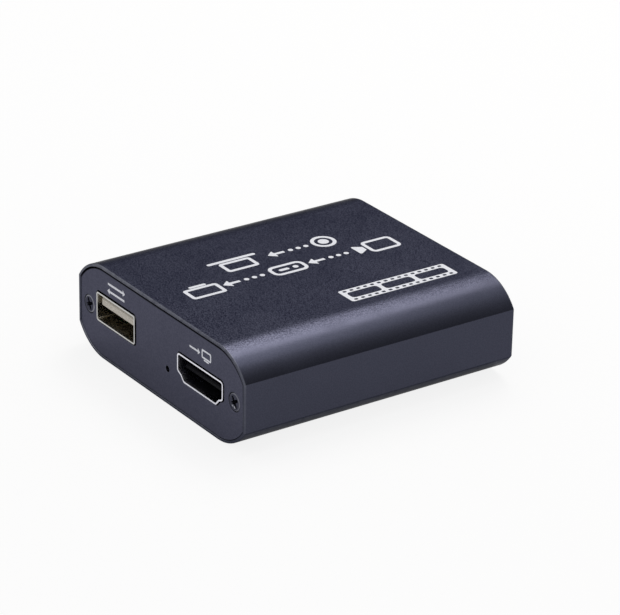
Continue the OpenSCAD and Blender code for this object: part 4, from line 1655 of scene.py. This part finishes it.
@dataclass(frozen=True)
class Lamp:
    """Soft rectangular lamp that points at the object."""

    name: str
    place: Triple
    size: Pair
    radiance: float
    roll_deg: float
    colour: Triple = (1.0, 1.0, 1.0)

    def build(self, aim: Vector) -> None:
        """Hang the lamp: its power is the radiance times its area times pi.

        Args:
            aim: point that the lamp faces.
        """
        data = bpy.data.lights.new(self.name, "AREA")
        data.shape = "RECTANGLE"
        data.color = self.colour
        data.size, data.size_y = self.size
        data.energy = self.radiance * self.size[0] * self.size[1] * math.pi
        aimed(in_scene(self.name, data), Vector(self.place), aim, self.roll_deg)


@dataclass
class Studio:
    """Pale floor, soft lamps, white surroundings and the photograph's camera."""

    camera_mm: Triple = (422.71, -293.47, 246.91)
    aim_mm: Triple = (1.19, 2.68, 10.43)
    roll_deg: float = 1.13
    lens_mm: float = 181.3
    floor_radius: float = 3.0
    floor_drop_mm: float = 0.02
    floor_steps: int = 96
    floor_colour: Colour = paint("#f4f4f5")
    floor_glow: float = 0.85
    floor_mirror: float = 0.4
    surround: float = 0.65
    side_dim: float = 0.22
    side: Triple = (0.8, 0.46, 0.38)
    side_reach: Pair = (0.66, 0.99)
    low_dim: float = 0.68
    low_reach: Pair = (0.05, 0.45)
    lamps: tuple[Lamp, ...] = (
        Lamp("key_lamp", (-0.2, 0.27, 0.477), (0.32, 0.22), 4.2, -35.0, (1.0, 0.95, 0.89)),
        Lamp("fill_lamp", (0.0, 0.18, 0.56), (0.36, 0.24), 1.7, 0.0),
    )

    def camera(self) -> None:
        """Stand the camera at its place, aim it and turn it about its axis."""
        data = bpy.data.cameras.new("camera")
        data.lens = self.lens_mm
        made = in_scene("camera", data)
        aimed(made, Vector(self.camera_mm) * MM, Vector(self.aim_mm) * MM, self.roll_deg)
        bpy.context.scene.camera = made

    def rays(self, canvas: Canvas) -> tuple[Any, Any]:
        """Tell rays from the camera, and mirrored or refracted ones, from the rest.

        Args:
            canvas: canvas of the floor's or the surroundings' tree.

        Returns:
            Two sockets that are 1 for rays of their kind.
        """
        path = canvas.add("ShaderNodeLightPath").outputs
        bent = canvas.math("MAXIMUM", path["Is Glossy Ray"], path["Is Transmission Ray"])
        return path["Is Camera Ray"], bent

    def floor(self) -> None:
        """Lay a round floor whose matt part keeps the shadow and whose glow makes it white to the camera."""
        rim = circle((0, 0), self.floor_radius, self.floor_steps)
        points = np.insert(rim, 2, -self.floor_drop_mm * MM, axis=1)
        mesh = bpy.data.meshes.new("floor")
        mesh.from_pydata(points.tolist(), [], [list(range(len(points)))])
        made = in_scene("floor", mesh)
        material = bpy.data.materials.new("pale_floor")
        material.use_nodes = True
        canvas = Canvas(material.node_tree)
        direct, bent = self.rays(canvas)
        share = canvas.math("MAXIMUM", canvas.math("MULTIPLY", direct, self.floor_glow),
                            canvas.math("MULTIPLY", bent, self.floor_mirror))
        matt = canvas.add("ShaderNodeBsdfDiffuse", {"Color": self.floor_colour}).outputs[0]
        glow = canvas.add("ShaderNodeEmission", {"Color": (1, 1, 1, 1), "Strength": 1.0}).outputs[0]
        mixed = canvas.add("ShaderNodeMixShader", {0: share, 1: matt, 2: glow}).outputs[0]
        canvas.add("ShaderNodeOutputMaterial", {"Surface": mixed})
        mesh.materials.append(material)

    def surroundings(self) -> None:
        """Surround the object with white, which mirrors show dimmer on one side and near the horizon."""
        world = bpy.data.worlds.new("surroundings")
        world.use_nodes = True
        canvas = Canvas(world.node_tree)
        toward = canvas.add("ShaderNodeTexCoord").outputs["Generated"]
        side = canvas.add("ShaderNodeVectorMath", {0: toward, 1: self.side}, operation="DOT_PRODUCT")
        beside = canvas.ramp(side.outputs["Value"], self.side_reach, (1.0, self.side_dim))
        low = canvas.ramp(canvas.axis(toward, "Z"), self.low_reach, (self.low_dim, 1.0))
        mirrored = canvas.math("MULTIPLY", beside, low)
        direct, bent = self.rays(canvas)
        lit = canvas.add("ShaderNodeMix", {0: bent, 2: self.surround, 3: mirrored}).outputs[0]
        tone = canvas.add("ShaderNodeMix", {0: direct, 2: lit, 3: 1.0}).outputs[0]
        light = canvas.add("ShaderNodeBackground", {"Color": (1, 1, 1, 1), "Strength": tone}).outputs[0]
        canvas.add("ShaderNodeOutputWorld", {"Surface": light})
        bpy.context.scene.world = world

    def build(self) -> None:
        """Set the studio up."""
        self.camera()
        self.floor()
        self.surroundings()
        for lamp in self.lamps:
            lamp.build(Vector(self.aim_mm) * MM)
        bpy.context.scene.view_settings.view_transform = "Standard"


def main() -> None:
    """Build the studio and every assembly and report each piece."""
    logging.basicConfig(level=logging.INFO, format="%(message)s")
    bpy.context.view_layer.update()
    Studio().build()
    housing = Housing.from_frame()
    front_mouths = [
        DataMouth.from_frame("data_socket_shell"), VideoMouth.from_frame("video_out_shell"),
        RoundMouth.from_frame("status_led"),
    ]
    front = EndPlate.from_frame(End.FRONT, housing, front_mouths)
    rear = EndPlate.from_frame(End.REAR, housing, [VideoMouth.from_frame("video_in_shell")])
    assemblies = [
        housing, front, rear, PlateScrews(End.FRONT, housing, front.face),
        PlateScrews(End.REAR, housing, rear.face), Prints(housing, front.face),
        PackedParts(SOCKETS, bevel=0.05), PackedParts(CONTACTS, bevel=0.03), PackedParts(BOARD),
    ]
    for assembly in assemblies:
        for piece in assembly.build():
            faces, finish = len(piece.data.polygons), piece.active_material.name
            log.info("%s: %d faces, finish %s", piece.name, faces, finish)


if __name__ == "__main__":
    main()
